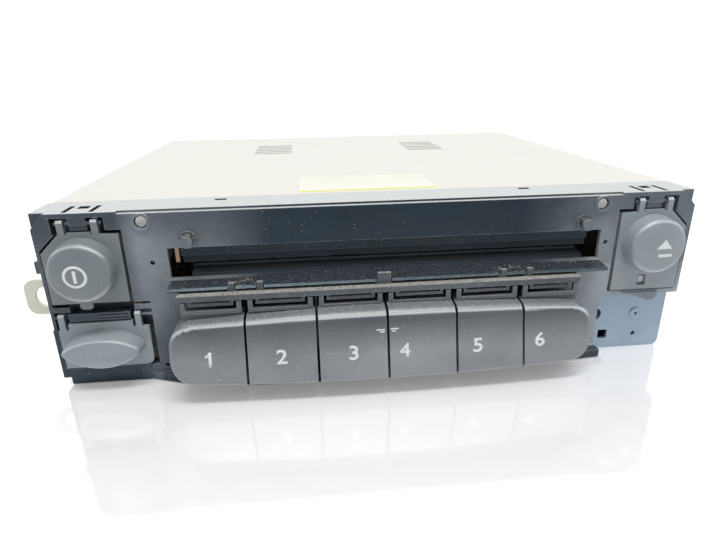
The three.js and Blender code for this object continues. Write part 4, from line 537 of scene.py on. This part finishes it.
# %% Board lacquer over copper tracks
def board_finish(name, ground, track):
    material, tree, shader = new_material(name)
    spot = own_place(tree)
    cells = node(tree, "ShaderNodeTexVoronoi", {"distance": "CHEBYCHEV"}, Vector=spot, Scale=85.0,
                 Randomness=0.9).outputs
    step = random_values(tree, cells)
    quarter_turns = times(tree, maths(tree, "ROUND", times(tree, step[0], 2.0)), math.pi / 2)
    turned = node(tree, "ShaderNodeVectorRotate", {"rotation_type": "Z_AXIS"}, Vector=spot,
                  Angle=quarter_turns).outputs[0]
    bands = node(tree, "ShaderNodeTexWave", {"bands_direction": "X"}, Vector=turned, Scale=190.0)
    lines = ranged(tree, bands.outputs["Fac"], 0.52, 0.6)
    lines = times(tree, lines, ranged(tree, step[1], 0.3, 0.34))
    lies = placed(tree, dust, Specks=0.08, Film=0.12, Settled=0.12)
    colour = mixed(tree, lines, ground, track)
    tree.links.new(mixed(tree, lies["Mask"], colour, linear(170, 168, 158)), shader.inputs["Base Color"])
    tree.links.new(ranged(tree, lies["Mask"], 0.0, 1.0, 0.3, 0.8), shader.inputs["Roughness"])
    tree.links.new(raised(tree, lines, 0.035, 0.8), shader.inputs["Normal"])
    return material


board_lacquer = board_finish("board_lacquer", linear(28, 74, 44), linear(52, 112, 66))
print("finishes:", [m.name for m in bpy.data.materials][-3:])

# %% Coated lens
lens_glass, tree, shader = new_material("lens_glass")
lies = placed(tree, dust, Specks=0.05, Film=0.1, Settled=0.05)
facing = node(tree, "ShaderNodeLayerWeight", i0=0.4).outputs["Facing"]
tint = mixed(tree, facing, linear(70, 92, 168), linear(150, 96, 150))
tree.links.new(mixed(tree, lies["Mask"], tint, linear(190, 190, 186)), shader.inputs["Base Color"])
tree.links.new(ranged(tree, lies["Mask"], 0.0, 1.0, 0.05, 0.5), shader.inputs["Roughness"])
shader.inputs["Transmission Weight"].default_value = 0.35

# %% [markdown]
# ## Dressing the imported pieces
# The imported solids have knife-sharp edges and are made of loose triangles. No moulded or pressed
# edge is that sharp, and it is the small round along an edge that catches the light. So a copy of
# each solid is merged, its flat faces are made whole, its edges get a small bevel, and its curves
# are shaded smooth. Weighted normals then keep the large flat faces flat, because a smooth bevel
# would else bend their shade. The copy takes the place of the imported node.

# %% Work on one object at a time
def alone(piece):
    bpy.ops.object.select_all(action="DESELECT")
    piece.select_set(True)
    bpy.context.view_layer.objects.active = piece
    return piece


def modify(piece, kind, **settings):
    alone(piece)
    bpy.ops.object.modifier_add(type=kind)
    modifier = piece.modifiers[-1]
    for name, value in settings.items():
        setattr(modifier, name, value)
    bpy.ops.object.modifier_apply(modifier=modifier.name)


@contextmanager
def editing(piece):
    """Opens a piece in edit mode with all of it selected, and closes it afterwards"""
    alone(piece)
    bpy.ops.object.mode_set(mode="EDIT")
    bpy.ops.mesh.select_all(action="SELECT")
    yield
    bpy.ops.object.mode_set(mode="OBJECT")


def apply_place(piece):
    alone(piece)
    bpy.ops.object.transform_apply(location=True, rotation=True, scale=True)


def painted(piece, finish):
    piece.data.materials.clear()
    piece.data.materials.append(finish)


def shaded(piece, angle):
    alone(piece)
    bpy.ops.object.shade_smooth_by_angle(angle=math.radians(angle))


def alone_new(name, mesh):
    piece = bpy.data.objects.new(name, mesh)
    bpy.context.scene.collection.objects.link(piece)
    return alone(piece)


def copy_at(model, place, turn=0.0):
    """A copy with its own mesh, moved to a place in metres and turned about the upright axis"""
    piece = alone_new(model.name + "_copy", model.data.copy())
    piece.location = place
    piece.rotation_euler = (0, 0, turn)
    return piece


def discard(piece):
    alone(piece)
    bpy.ops.object.delete()


def copied_solid(name, new_name):
    mesh = frame["nodes"][name].data.copy()
    mesh.materials.clear()
    piece = alone_new(new_name, mesh)
    bpy.ops.mesh.customdata_custom_splitnormals_clear()
    with editing(piece):
        bpy.ops.mesh.remove_doubles(threshold=0.002 * MM)
        bpy.ops.mesh.tris_convert_to_quads(face_threshold=0.01, shape_threshold=3.14)
    return piece

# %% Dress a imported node
FINISH_OF_SLOT = {
    "frame_plastic": frame_plastic, "key_plastic": key_plastic, "dark_plastic": dark_plastic,
    "zinc_steel": zinc_sheet, "case_front_steel": case_front_reflecting_sheet, "bare_steel": bright_steel,
    "aluminium": cast_aluminium, "bronze": spring_bronze, "board_laminate": board_lacquer,
    "rubber": rubber, "lens_glass": lens_glass,
}
NODE_SLOT = {entry["node"]: entry["material_slot"] for entry in frame["record"]["subparts"]}
NODE_BODY = {name: body for body, names in frame["record"]["behaviour"]["bodies"].items() for name in names}
dressed_pieces = {}


def dress(name, edge=0.12, turn=25, segments=2, finish=None):
    piece = copied_solid(name, name + "_dressed")
    modify(piece, "BEVEL", width=edge * MM, segments=segments, limit_method="ANGLE",
           angle_limit=math.radians(turn), miter_outer="MITER_ARC", use_clamp_overlap=True)
    shaded(piece, turn)
    modify(piece, "WEIGHTED_NORMAL", keep_sharp=True, weight=100)
    painted(piece, finish or FINISH_OF_SLOT[NODE_SLOT[name]])
    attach(piece, NODE_BODY[name])
    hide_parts(name)
    dressed_pieces[name] = piece

# %% [markdown]
# ## Front moulding, rail and keys
# The moulding has many small ribs and slots, so its bevel stays thin. The caps of the keys are
# the softest shapes here, and their cut sides, where one key meets the next, get a rounder edge.

# %% Dress the front
dress("front_frame", edge=0.1)
dress("key_rail", edge=0.12, finish=rail_plastic)
for number in range(1, 7):
    dress(f"key_{number}", edge=0.22, turn=32, segments=3)
dress("power_button", edge=0.18, turn=35, finish=button_plastic)
for name in ("eject_button", "lower_button"):
    dress(name, edge=0.18, turn=35, finish=lit_button_plastic)
dress("upper_disc_guide", finish=guide_plastic)
dress("lower_disc_guide", finish=lit_guide_plastic)
dress("disc_sense_leaf", edge=0.05)
dress("case_front", edge=0.1)
print("dressed:", {name: len(piece.data.polygons) for name, piece in dressed_pieces.items()})

# %% Dress the case and its back
dress("top_cover", edge=0.2)
dress("case_tub", edge=0.15)
dress("back_panel", edge=0.15)
dress("mounting_ear", edge=0.2, finish=ear_zinc)
for name in ("heat_sink", "connector_block", "aerial_socket"):
    dress(name, edge=0.2)

# %% Dress what is inside
INSIDE = ["key_board", "main_board", "tuner_can", "capacitor", "amplifier", "deck_plate", "spindle_motor",
          "turntable", "clamp_puck", "clamp_arm", "pickup_sled", "pickup_lens", "guide_rod_left",
          "guide_rod_right", "lead_screw", "sled_motor", "roller_shaft", "roller_sleeve", "loading_motor",
          "motor_pulley", "drive_belt", "damper_front_left", "damper_front_right", "damper_back_left",
          "damper_back_right"]
INSIDE += [name for name in frame["nodes"] if name.startswith("switch_")]
for name in INSIDE:
    dress(name, edge=0.12, finish=lit_roller_rubber if name == "roller_sleeve" else None)
left_bare = sorted(set(frame["nodes"]) - set(dressed_pieces))
print("dressed in all:", len(dressed_pieces), "left as packed:", left_bare)

# %% [markdown]
# ## Printed marks
# Each key carries a plain number, and two buttons carry a symbol. On the real part they are
# printed in white ink that follows the curved face. A texture could hold them, but here each is
# a thin film: flat letters are cut finely, every corner is pushed straight back onto the face,
# and the sheet gets a thickness of less than a tenth of a millimetre.

# %% White ink, worn in places
ink, tree, shader = new_material("white_ink")
spot = own_place(tree)
thin = ranged(tree, noise(tree, spot, 900.0, 3.0, 0.6), 0.55, 0.75, 0.0, 0.35)
lies = placed(tree, dust, Specks=0.05, Film=0.06, Settled=0.1)
base = mixed(tree, thin, linear(252, 253, 253), linear(186, 193, 195))
tree.links.new(mixed(tree, lies["Mask"], base, linear(196, 196, 190)), shader.inputs["Base Color"])
tree.links.new(ranged(tree, thin, 0.0, 0.35, 0.4, 0.65), shader.inputs["Roughness"])
tree.links.new(raised(tree, thin, 0.01, 0.4), shader.inputs["Normal"])

# %% Lay a flat upright shape on a dressed face
FILM_PROUD, FILM_THICKNESS = 0.04 * MM, 0.07 * MM
RAY_START, MARK_START = -130 * MM, -120 * MM


def lay_on(shape, carrier, cuts=2):
    apply_place(shape)
    with editing(shape):
        bpy.ops.mesh.remove_doubles(threshold=0.01 * MM)
        bpy.ops.mesh.quads_convert_to_tris(quad_method="BEAUTY", ngon_method="BEAUTY")
        bpy.ops.mesh.subdivide(number_cuts=cuts)
    face, missed = dressed_pieces[carrier], 0
    for corner in shape.data.vertices:
        start = Vector((corner.co.x, RAY_START, corner.co.z))
        found, place, *_ = face.ray_cast(start, Vector((0, 1, 0)))
        missed += not found
        corner.co.y = (place.y if found else corner.co.y) - FILM_PROUD
    modify(shape, "SOLIDIFY", thickness=FILM_THICKNESS, offset=-1)
    painted(shape, ink)
    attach(shape, NODE_BODY[carrier])
    print(shape.name, "corners", len(shape.data.vertices), "missed", missed)

# %% Numbers on the keys
NUMBER_HEIGHT, NUMBER_SPREAD = 3.8 * MM, 1.18
THIN_OUTLINE, BOLD_OUTLINE = 0.006, 0.018
NUMBER_PLACES = [(-46.95, 13.1), (-28.34, 13.0), (-9.38, 13.0), (4.33, 12.9), (24.47, 12.9), (42.15, 13.25)]
for index, (x, z) in enumerate(NUMBER_PLACES, start=1):
    bpy.ops.object.text_add(rotation=(math.radians(90), 0, 0))
    number = just_made(f"number_{index}")
    number.data.body = str(index)
    # A bold line would close the opening of the four
    number.data.offset = THIN_OUTLINE if index == 4 else BOLD_OUTLINE
    bpy.ops.object.convert(target="MESH")
    low, high = Vector(number.bound_box[0]), Vector(number.bound_box[6])
    grow = NUMBER_HEIGHT / (high.y - low.y)
    number.scale = (grow * NUMBER_SPREAD, grow, grow)
    middle = (low + high) / 2
    number.location = (x * MM - middle.x * grow * NUMBER_SPREAD, MARK_START, z * MM - middle.y * grow)
    lay_on(number, f"key_{index}")

# %% The short flag of the number one, which the plain letters lack
bpy.ops.mesh.primitive_plane_add(size=1, location=(-47.6 * MM, MARK_START, 14.15 * MM))
flag = just_made("number_1_flag")
flag.rotation_euler = (math.radians(90), math.radians(-38), 0)
flag.scale = (1.5 * MM, 0.5 * MM, 1)
lay_on(flag, "key_1")

# %% [markdown]
# The power symbol is a ring around an upright bar, and the eject symbol a triangle over a bar.
# A ring is a filled circle whose face is inset and its middle deleted. The bars and the triangle
# are flat shapes with their corners rounded by a vertex bevel.

# %% Symbols on the two round buttons
def flat_shape(name, corners, half_width, half_height, x, z, round_corners=0.15):
    turn = math.radians(45) if corners == 4 else 0
    bpy.ops.mesh.primitive_circle_add(vertices=corners, radius=1, fill_type="NGON")
    shape = just_made(name)
    with editing(shape):
        bpy.ops.transform.rotate(value=turn, orient_axis="Z", center_override=(0, 0, 0))
    wide, tall = shape.dimensions.x, shape.dimensions.y
    shape.scale = (2 * half_width * MM / wide, 2 * half_height * MM / tall, 1)
    apply_place(shape)
    if round_corners:
        with editing(shape):
            bpy.ops.mesh.bevel(offset=round_corners * MM, segments=3, affect="VERTICES")
    shape.rotation_euler = (math.radians(90), 0, 0)
    shape.location = (x * MM, MARK_START, z * MM)
    return shape


ring = flat_shape("power_ring", 48, 3.05, 3.05, -79.56, 34.84, round_corners=0)
with editing(ring):
    bpy.ops.mesh.inset(thickness=0.72 * MM)
    bpy.ops.mesh.delete(type="FACE")
lay_on(ring, "power_button", cuts=1)
lay_on(flat_shape("power_bar", 4, 0.42, 1.7, -79.56, 34.84), "power_button", cuts=5)
for name, corners, half_width, half_height, x, z in (("eject_triangle", 3, 2.35, 1.35, 79.75, 35.75),
                                                     ("eject_bar", 4, 2.1, 0.45, 80.4, 32.86)):
    mark = flat_shape(name, corners, half_width, half_height, x, z, round_corners=0.1)
    lay_on(mark, "eject_button", cuts=4)

# %% [markdown]
# A knock across the gap between the third and the fourth key left two short bright scratches.
# They are laid on the two faces in the same way as the print.

# %% Scratches on two keys
SCRATCHES = [("scratch_3_long", "key_3", -2.0, 1.1, 18.7), ("scratch_3_short", "key_3", -1.6, 0.6, 18.1),
             ("scratch_4_long", "key_4", 1.7, 1.1, 18.8), ("scratch_4_short", "key_4", 1.5, 0.5, 18.2)]
for name, key, x, half_width, z in SCRATCHES:
    lay_on(flat_shape(name, 4, half_width, 0.17, x, z, round_corners=0.05), key, cuts=3)

# %% [markdown]
# ## Small parts of the front
# Two strips of felt close the slot above and below the path of the disc and keep dust out. Behind
# the two holes in the top corners sit the bright heads of rivets in the steel front. A bent
# steel tongue shows in the window of the eject flap. None of these moves by itself, so all of
# them ride with the radio.

# %% Start a part from a box or a rod of the right size
def finished(piece, finish, body="radio", smooth=35):
    apply_place(piece)
    shaded(piece, smooth)
    painted(piece, finish)
    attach(piece, body)
    return piece


def block(name, low, high, rounded, segments=2):
    """A box between two corners in millimetres, with rounded edges"""
    centre = [(a + b) / 2 * MM for a, b in zip(low, high)]
    bpy.ops.mesh.primitive_cube_add(size=1, location=centre)
    piece = just_made(name)
    piece.scale = [(b - a) * MM for a, b in zip(low, high)]
    apply_place(piece)
    if rounded:
        modify(piece, "BEVEL", width=rounded * MM, segments=segments)
    return piece


def rod(name, place, axis, radius, length, sides):
    """A cylinder centred on a place in millimetres, along Y or Z"""
    turn = (math.radians(90), 0, 0) if axis == "y" else (0, 0, 0)
    bpy.ops.mesh.primitive_cylinder_add(vertices=sides, radius=radius * MM, depth=length * MM,
                                        location=[v * MM for v in place], rotation=turn)
    piece = just_made(name)
    apply_place(piece)
    return piece

# %% [markdown]
# Felt is a mat of fibres, so its strip is cut into many short bands and their free edge is made
# uneven by a small random move of each corner. Its finish is matt, with a fine woolly bump.

# %% Felt strips in the slot
FELT_CUTS = 80


def felt_finish(name, colour, shade):
    return plastic(name, colour, shade, 0.85, specks=0.3, film=0.12, settled=0.1, grain_depth=0.02,
                   scuffed=0.0, wear_and_glint_on_edges=0.1, dust_colour=linear(120, 128, 134))


dark_felt = felt_finish("dark_felt", linear(34, 46, 55), linear(44, 56, 66))
pale_felt = felt_finish("pale_felt", linear(116, 134, 146), linear(128, 146, 158))


def felt_strip(name, low, high, free_edge, finish, seed):
    strip = block(name, low, high, rounded=0)
    with editing(strip):
        bpy.ops.mesh.subdivide(number_cuts=1)
    for cut in range(FELT_CUTS):
        x = (low[0] + (high[0] - low[0]) * (cut + 1) / (FELT_CUTS + 1)) * MM
        with editing(strip):
            bpy.ops.mesh.bisect(plane_co=(x, 0, 0), plane_no=(1, 0, 0))
    chance = random.Random(seed)
    for corner in strip.data.vertices:
        if abs(corner.co.z - free_edge * MM) < 0.01 * MM:
            corner.co.z += chance.uniform(-0.12, 0.12) * MM
            corner.co.y += chance.uniform(-0.08, 0.08) * MM
    modify(strip, "BEVEL", width=0.08 * MM, segments=1, limit_method="ANGLE", angle_limit=math.radians(50))
    return finished(strip, finish, smooth=60)


upper_felt = felt_strip("felt_upper", (-54.4, -76.4, 34.4), (60.8, -75.6, 37.5), 34.4, dark_felt, 3)
lower_felt = felt_strip("felt_lower", (-52.3, -72.4, 31.2), (60.3, -71.7, 32.6), 32.6, pale_felt, 5)
print("felt corners:", len(upper_felt.data.vertices), len(lower_felt.data.vertices))

# %% Rivet heads behind the two upper holes
rivet_zinc = metal("rivet_zinc", linear(246, 246, 240), linear(252, 251, 246), 0.3, flake_scale=600.0,
                   metallic=0.1, film=0.0)
RIVET_STEPS = [(0.55, 0.3), (0.2, 0.2)]  # the width of each rim and the drop behind it
for side, place in (("left", -63.1), ("right", 63.1)):
    head = rod("rivet_" + side, (place, -78.6, 47.1), "y", 1.42, 1.2, 32)
    with editing(head):
        bpy.ops.mesh.select_mode(type="FACE")
        bpy.ops.mesh.select_all(action="DESELECT")
    for face in head.data.polygons:
        face.select = face.normal.y < -0.9
    bpy.ops.object.mode_set(mode="EDIT")
    for rim, depth in RIVET_STEPS:
        bpy.ops.mesh.inset(thickness=rim * MM)
        bpy.ops.transform.translate(value=(0, depth * MM, 0))
    bpy.ops.object.mode_set(mode="OBJECT")
    modify(head, "BEVEL", width=0.12 * MM, segments=2, limit_method="ANGLE", angle_limit=math.radians(30))
    finished(head, rivet_zinc)

# %% Tongue in the window of the eject flap
tongue = block("window_tongue", (78.1, -79.0, 22.1), (79.75, -77.2, 24.4), rounded=0.15)
finished(tongue, rivet_zinc)

# %% [markdown]
# Lint and crumbs gather where a finger never reaches: in the gaps beside the flaps, round the
# hooks of the key rail, the posts and the lower hinge. Lint is a ragged ribbon, made from a fine
# grid whose corners are moved at random. A crumb is a small ball, squashed and turned, that is
# dropped onto the front moulding, so it never hangs in the air.

# %% Ragged lint in the gaps
def fluff(name, colour, shade, specks, film, settled):
    return plastic(name, colour, shade, 0.9, specks=specks, film=film, settled=settled, grain_depth=0.03,
                   scuffed=0.0, wear_and_glint_on_edges=0.0)


dark_lint = fluff("dark_lint", linear(30, 34, 38), linear(44, 48, 50), 1.0, 0.1, 0.2)
brown_lint = fluff("brown_lint", linear(88, 88, 80), linear(118, 116, 104), 0.8, 0.2, 0.2)


def lint(name, low, high, depth, finish, seed):
    """A ragged upright ribbon between two places (x, z), at one depth"""
    width, height = high[0] - low[0], high[1] - low[1]
    middle = ((low[0] + high[0]) / 2 * MM, depth * MM, (low[1] + high[1]) / 2 * MM)
    bpy.ops.mesh.primitive_grid_add(x_subdivisions=2, y_subdivisions=int(height / 0.35), size=1,
                                    location=middle, rotation=(math.radians(90), 0, 0))
    ribbon = just_made(name)
    ribbon.scale = (width * MM, height * MM, 1)
    apply_place(ribbon)
    chance = random.Random(seed)
    for corner in ribbon.data.vertices:
        corner.co.x += chance.uniform(-0.3, 0.3) * width * MM
        corner.co.y += chance.uniform(-0.12, 0.12) * MM
    modify(ribbon, "SOLIDIFY", thickness=0.16 * MM, offset=0)
    finished(ribbon, finish, smooth=60)


lint("lint_power_gap", (-68.95, 27.5), (-68.5, 44.5), -79.2, dark_lint, 11)
lint("lint_eject_gap", (68.5, 22.5), (68.9, 44.3), -79.2, brown_lint, 12)
lint("lint_lower_gap", (-64.9, 7.0), (-64.3, 16.5), -79.0, dark_lint, 13)

# %% Crumbs round the hooks, the posts and the lower hinge
crumb_finish = fluff("crumb", linear(150, 138, 120), linear(192, 180, 162), 0.0, 0.1, 0.1)


def joined(name, pieces):
    alone(pieces[0])
    for piece in pieces:
        piece.select_set(True)
    bpy.ops.object.join()
    return just_made(name)


def crumbs(name, centre, spread, count, seed):
    """Drops crumbs from round a place onto the front moulding, all of them copies of one ball"""
    bpy.ops.mesh.primitive_ico_sphere_add(subdivisions=1, radius=MM)
    ball = bpy.context.object
    chance, grains = random.Random(seed), []
    for _ in range(count):
        x = chance.gauss(centre[0], spread[0]) * MM
        y = chance.gauss(centre[1], spread[1]) * MM
        above = Vector((x, y, centre[2] * MM))
        found, place, *_ = dressed_pieces["front_frame"].ray_cast(above, Vector((0, 0, -1)))
        if not found:
            continue
        radius = chance.uniform(0.09, 0.24)
        crumb = copy_at(ball, (x, y, place.z + radius * 0.35 * MM))
        squash = (chance.uniform(0.7, 1.5), chance.uniform(0.7, 1.3), chance.uniform(0.5, 0.9))
        crumb.scale = [radius * share for share in squash]
        crumb.rotation_euler = (0, 0, chance.uniform(0, 3))
        grains.append(crumb)
    discard(ball)
    print(name, "grains", len(grains))
    finished(joined(name, grains), crumb_finish)


crumbs("crumbs_left", (-38.2, -84.0, 36), (1.7, 1.2), 46, 21)
crumbs("crumbs_right", (35.8, -84.0, 36), (2.2, 1.2), 50, 22)
crumbs("crumbs_hinge", (-67.3, -79.0, 24.0), (1.2, 0.3), 40, 23)
crumbs("crumbs_post_left", (-51.6, -81.2, 47), (1.3, 0.5), 26, 24)
crumbs("crumbs_post_right", (57.6, -81.2, 47), (1.6, 0.5), 34, 25)

# %% [markdown]
# ## Case fittings
# A pale blank sticker with a yellow band lies on the cover, close behind the front, and a second
# one on the back. Screws hold the cover and the back panel. One screw is modelled, with a domed
# head and a cross recess cut by a Boolean, and those on the case are copies with their own mesh.

# %% Blank stickers
def sticker(name, low, high, facing, paper, edge, border):
    """A film on the top (z) or the back (y), with a coloured band along its near or lower side"""
    paper_low, band_high, axis = list(low), list(high), 1 if facing == "z" else 2
    paper_low[axis] = band_high[axis] = low[axis] + border
    for part, first, last, colour in ((name, paper_low, high, paper), (name + "_edge", low, band_high, edge)):
        finished(block(part, first, last, rounded=0.015, segments=1), colour)


paper = plastic("sticker_paper", linear(240, 241, 226), linear(246, 246, 234), 0.55, specks=0.1, film=0.1,
                settled=0.1, scuffed=0.15, wear_and_glint_on_edges=0.0)
yellow_edge = plastic("sticker_edge", linear(236, 232, 40), linear(242, 240, 70), 0.5, specks=0.1, film=0.1,
                      settled=0.0, scuffed=0.1, wear_and_glint_on_edges=0.0)
sticker("cover_sticker", (-22, -63.2, 49.99), (19.2, -40, 50.05), "z", paper, yellow_edge, 1.3)
sticker("back_sticker", (-10, 77.99, 12), (24, 78.05, 36), "y", paper, yellow_edge, 0.5)

# %% One screw, then its copies
def made_screw():
    head = rod("screw_master", (0, 0, 0.5), "z", 2.3, 1.4, 32)
    modify(head, "BEVEL", width=0.75 * MM, segments=5, limit_method="ANGLE", angle_limit=math.radians(60))
    for turn in (0, 90):
        arm = block("screw_recess", (-1.35, -0.22, 0.45), (1.35, 0.22, 2), rounded=0.0)
        arm.rotation_euler = (0, 0, math.radians(turn))
        apply_place(arm)
        modify(head, "BOOLEAN", object=arm, operation="DIFFERENCE", solver="EXACT")
        discard(arm)
    return head


SCREW_SPIN = 37
SCREW_TURNS = {"+y": (-90, 0, 0), "+x": (0, 90, 0), "-x": (0, -90, 0)}
SCREW_PLACES = [
    ("back_1", "+y", (-83.5, 78, 44.3), 1.0), ("back_2", "+y", (-83.5, 78, 5.0), 1.0),
    ("back_3", "+y", (-5.0, 78, 44.3), 1.0), ("back_4", "+y", (28.0, 78, 44.3), 1.0),
    ("back_5", "+y", (-30.0, 78, 5.0), 1.0), ("back_6", "+y", (28.0, 78, 5.0), 1.0),
    ("side_1", "-x", (-90.3, -20, 45.8), 0.8), ("side_2", "-x", (-90.3, 62, 45.8), 0.8),
    ("side_3", "+x", (90.3, -20, 45.8), 0.8), ("side_4", "+x", (90.3, 62, 45.8), 0.8),
]
screw_master = made_screw()
for index, (label, facing, place, scale) in enumerate(SCREW_PLACES):
    screw = alone_new("screw_" + label, screw_master.data.copy())
    screw.scale = (scale,) * 3
    screw.rotation_euler = [math.radians(v) for v in SCREW_TURNS[facing]]
    screw.location = [v * MM for v in place]
    screw.data.transform(Matrix.Rotation(math.radians(SCREW_SPIN * index), 4, "Z"))
    finished(screw, bright_steel)
discard(screw_master)
print("screws:", len(SCREW_PLACES))

# %% [markdown]
# ## Inside the case
# The cover hides these pieces, but a rebuilt part is opened sooner or later. The main board gets
# its chips, small parts and a plug for the flat cable, the motors get terminals, and the lead
# screw gets its thread.

# %% Chips with legs on the main board
BOARD_TOP = 6.6
black_epoxy = plastic("black_epoxy", (0.011, 0.011, 0.012, 1), (0.017, 0.017, 0.018, 1), 0.5, specks=0.05,
                      film=0.12, settled=0.2, scuffed=0.05, wear_and_glint_on_edges=0.1)


def chip(name, x, y, width, length, legs):
    body = block(name, (x - width / 2, y - length / 2, BOARD_TOP + 0.35),
                 (x + width / 2, y + length / 2, BOARD_TOP + 1.9), rounded=0.25)
    finished(body, black_epoxy)
    # A leg is a level piece out of the body and an upright piece down to the board
    leg = joined("leg", [block("level", (-0.2, -0.2, 0.9), (0.9, 0.2, 1.15), 0.05, 1),
                         block("upright", (0.65, -0.2, -0.05), (0.95, 0.2, 1.1), 0.05, 1)])
    made = []
    for side, turn in ((-1, math.pi), (1, 0)):
        for index in range(legs):
            leg_y = y + (index - (legs - 1) / 2) * (length - 1.2) / (legs - 1)
            place = (x + side * width / 2, leg_y, BOARD_TOP)
            made.append(copy_at(leg, [v * MM for v in place], turn))
    discard(leg)
    finished(joined(name + "_legs", made), tinned)


chip("chip_control", 20, 22, 14, 20, 12)
chip("chip_sound", -14, 38, 9, 16, 9)
chip("chip_memory", 52, -22, 8, 12, 7)

# %% Small parts scattered over the board
chance = random.Random(41)
SMALL_PARTS, TRIES = 44, 120
# Each taken place is a middle (x, y) with a half width and a half length to keep clear
TAKEN = [(20, 22, 12, 14), (-14, 38, 9, 12), (52, -22, 8, 10), (-64, 0, 20, 24), (76, 36, 10, 10),
         (62, 74, 14, 8), (-62, 76, 22, 12)]
tiny = []
small_part = block("small_part", (-0.5, -1, -0.05), (0.5, 1, 0.6), 0.12, 1)
for _ in range(TRIES):
    x, y = chance.uniform(-78, 78), chance.uniform(-54, 66)
    if any(abs(x - cx) < hx and abs(y - cy) < hy for cx, cy, hx, hy in TAKEN):
        continue
    turn = 0 if chance.random() < 0.5 else math.pi / 2
    TAKEN.append((x, y, 2.4, 2.4))
    tiny.append(copy_at(small_part, (x * MM, y * MM, BOARD_TOP * MM), turn))
    if len(tiny) == SMALL_PARTS:
        break
discard(small_part)
finished(joined("board_small_parts", tiny), dark_plastic)
cream_nylon = plastic("cream_nylon", linear(214, 208, 186), linear(226, 220, 200), 0.4, specks=0.1,
                      film=0.1, settled=0.2, wear_and_glint_on_edges=0.1)
finished(block("cable_plug", (-6, -50, BOARD_TOP - 0.05), (14, -45, BOARD_TOP + 3.2), 0.3), cream_nylon)
print("small parts on the board:", len(tiny))

# %% [markdown]
# The thread of the lead screw is a thin ridge wound round the shaft. A small triangle is turned
# about an axis and moved along it at the same time, which is what the Screw modifier does. The
# ridge advances 3 mm in one turn, as the sled does.

# %% Thread on the lead screw
THREAD_CENTRE, THREAD_START, THREAD_PITCH, THREAD_TURNS = (31.7, 26.9), 3.5, 3.0, 19
bpy.ops.mesh.primitive_circle_add(vertices=3, radius=0.28 * MM, fill_type="NOTHING")
thread = just_made("lead_screw_thread")
thread.rotation_euler = (math.radians(90), 0, 0)
thread.location = (1.3 * MM, 0, 0)
apply_place(thread)
modify(thread, "SCREW", axis="Z", angle=math.radians(360), screw_offset=THREAD_PITCH * MM,
       iterations=THREAD_TURNS, steps=20, render_steps=20)
with editing(thread):
    bpy.ops.mesh.fill_holes(sides=3)
    bpy.ops.mesh.normals_make_consistent(inside=False)
thread.rotation_euler = (math.radians(-90), 0, 0)
thread.location = (THREAD_CENTRE[0] * MM, THREAD_START * MM, THREAD_CENTRE[1] * MM)
finished(thread, bright_steel, body=NODE_BODY["lead_screw"])
print("thread", round(thread.dimensions.y / MM, 1), "mm long")

# %% Motor terminals
TERMINALS = [("loading_terminal_1", (-35, -50.6, 29), (-33.2, -50.1, 30.6)),
             ("loading_terminal_2", (-35, -48.3, 29), (-33.2, -47.8, 30.6)),
             ("sled_terminal_1", (29.2, -19.6, 26.4), (30.6, -18.1, 26.8)),
             ("sled_terminal_2", (32.8, -19.6, 26.4), (34.2, -18.1, 26.8))]
for name, low, high in TERMINALS:
    finished(block(name, low, high, rounded=0.08), tinned)
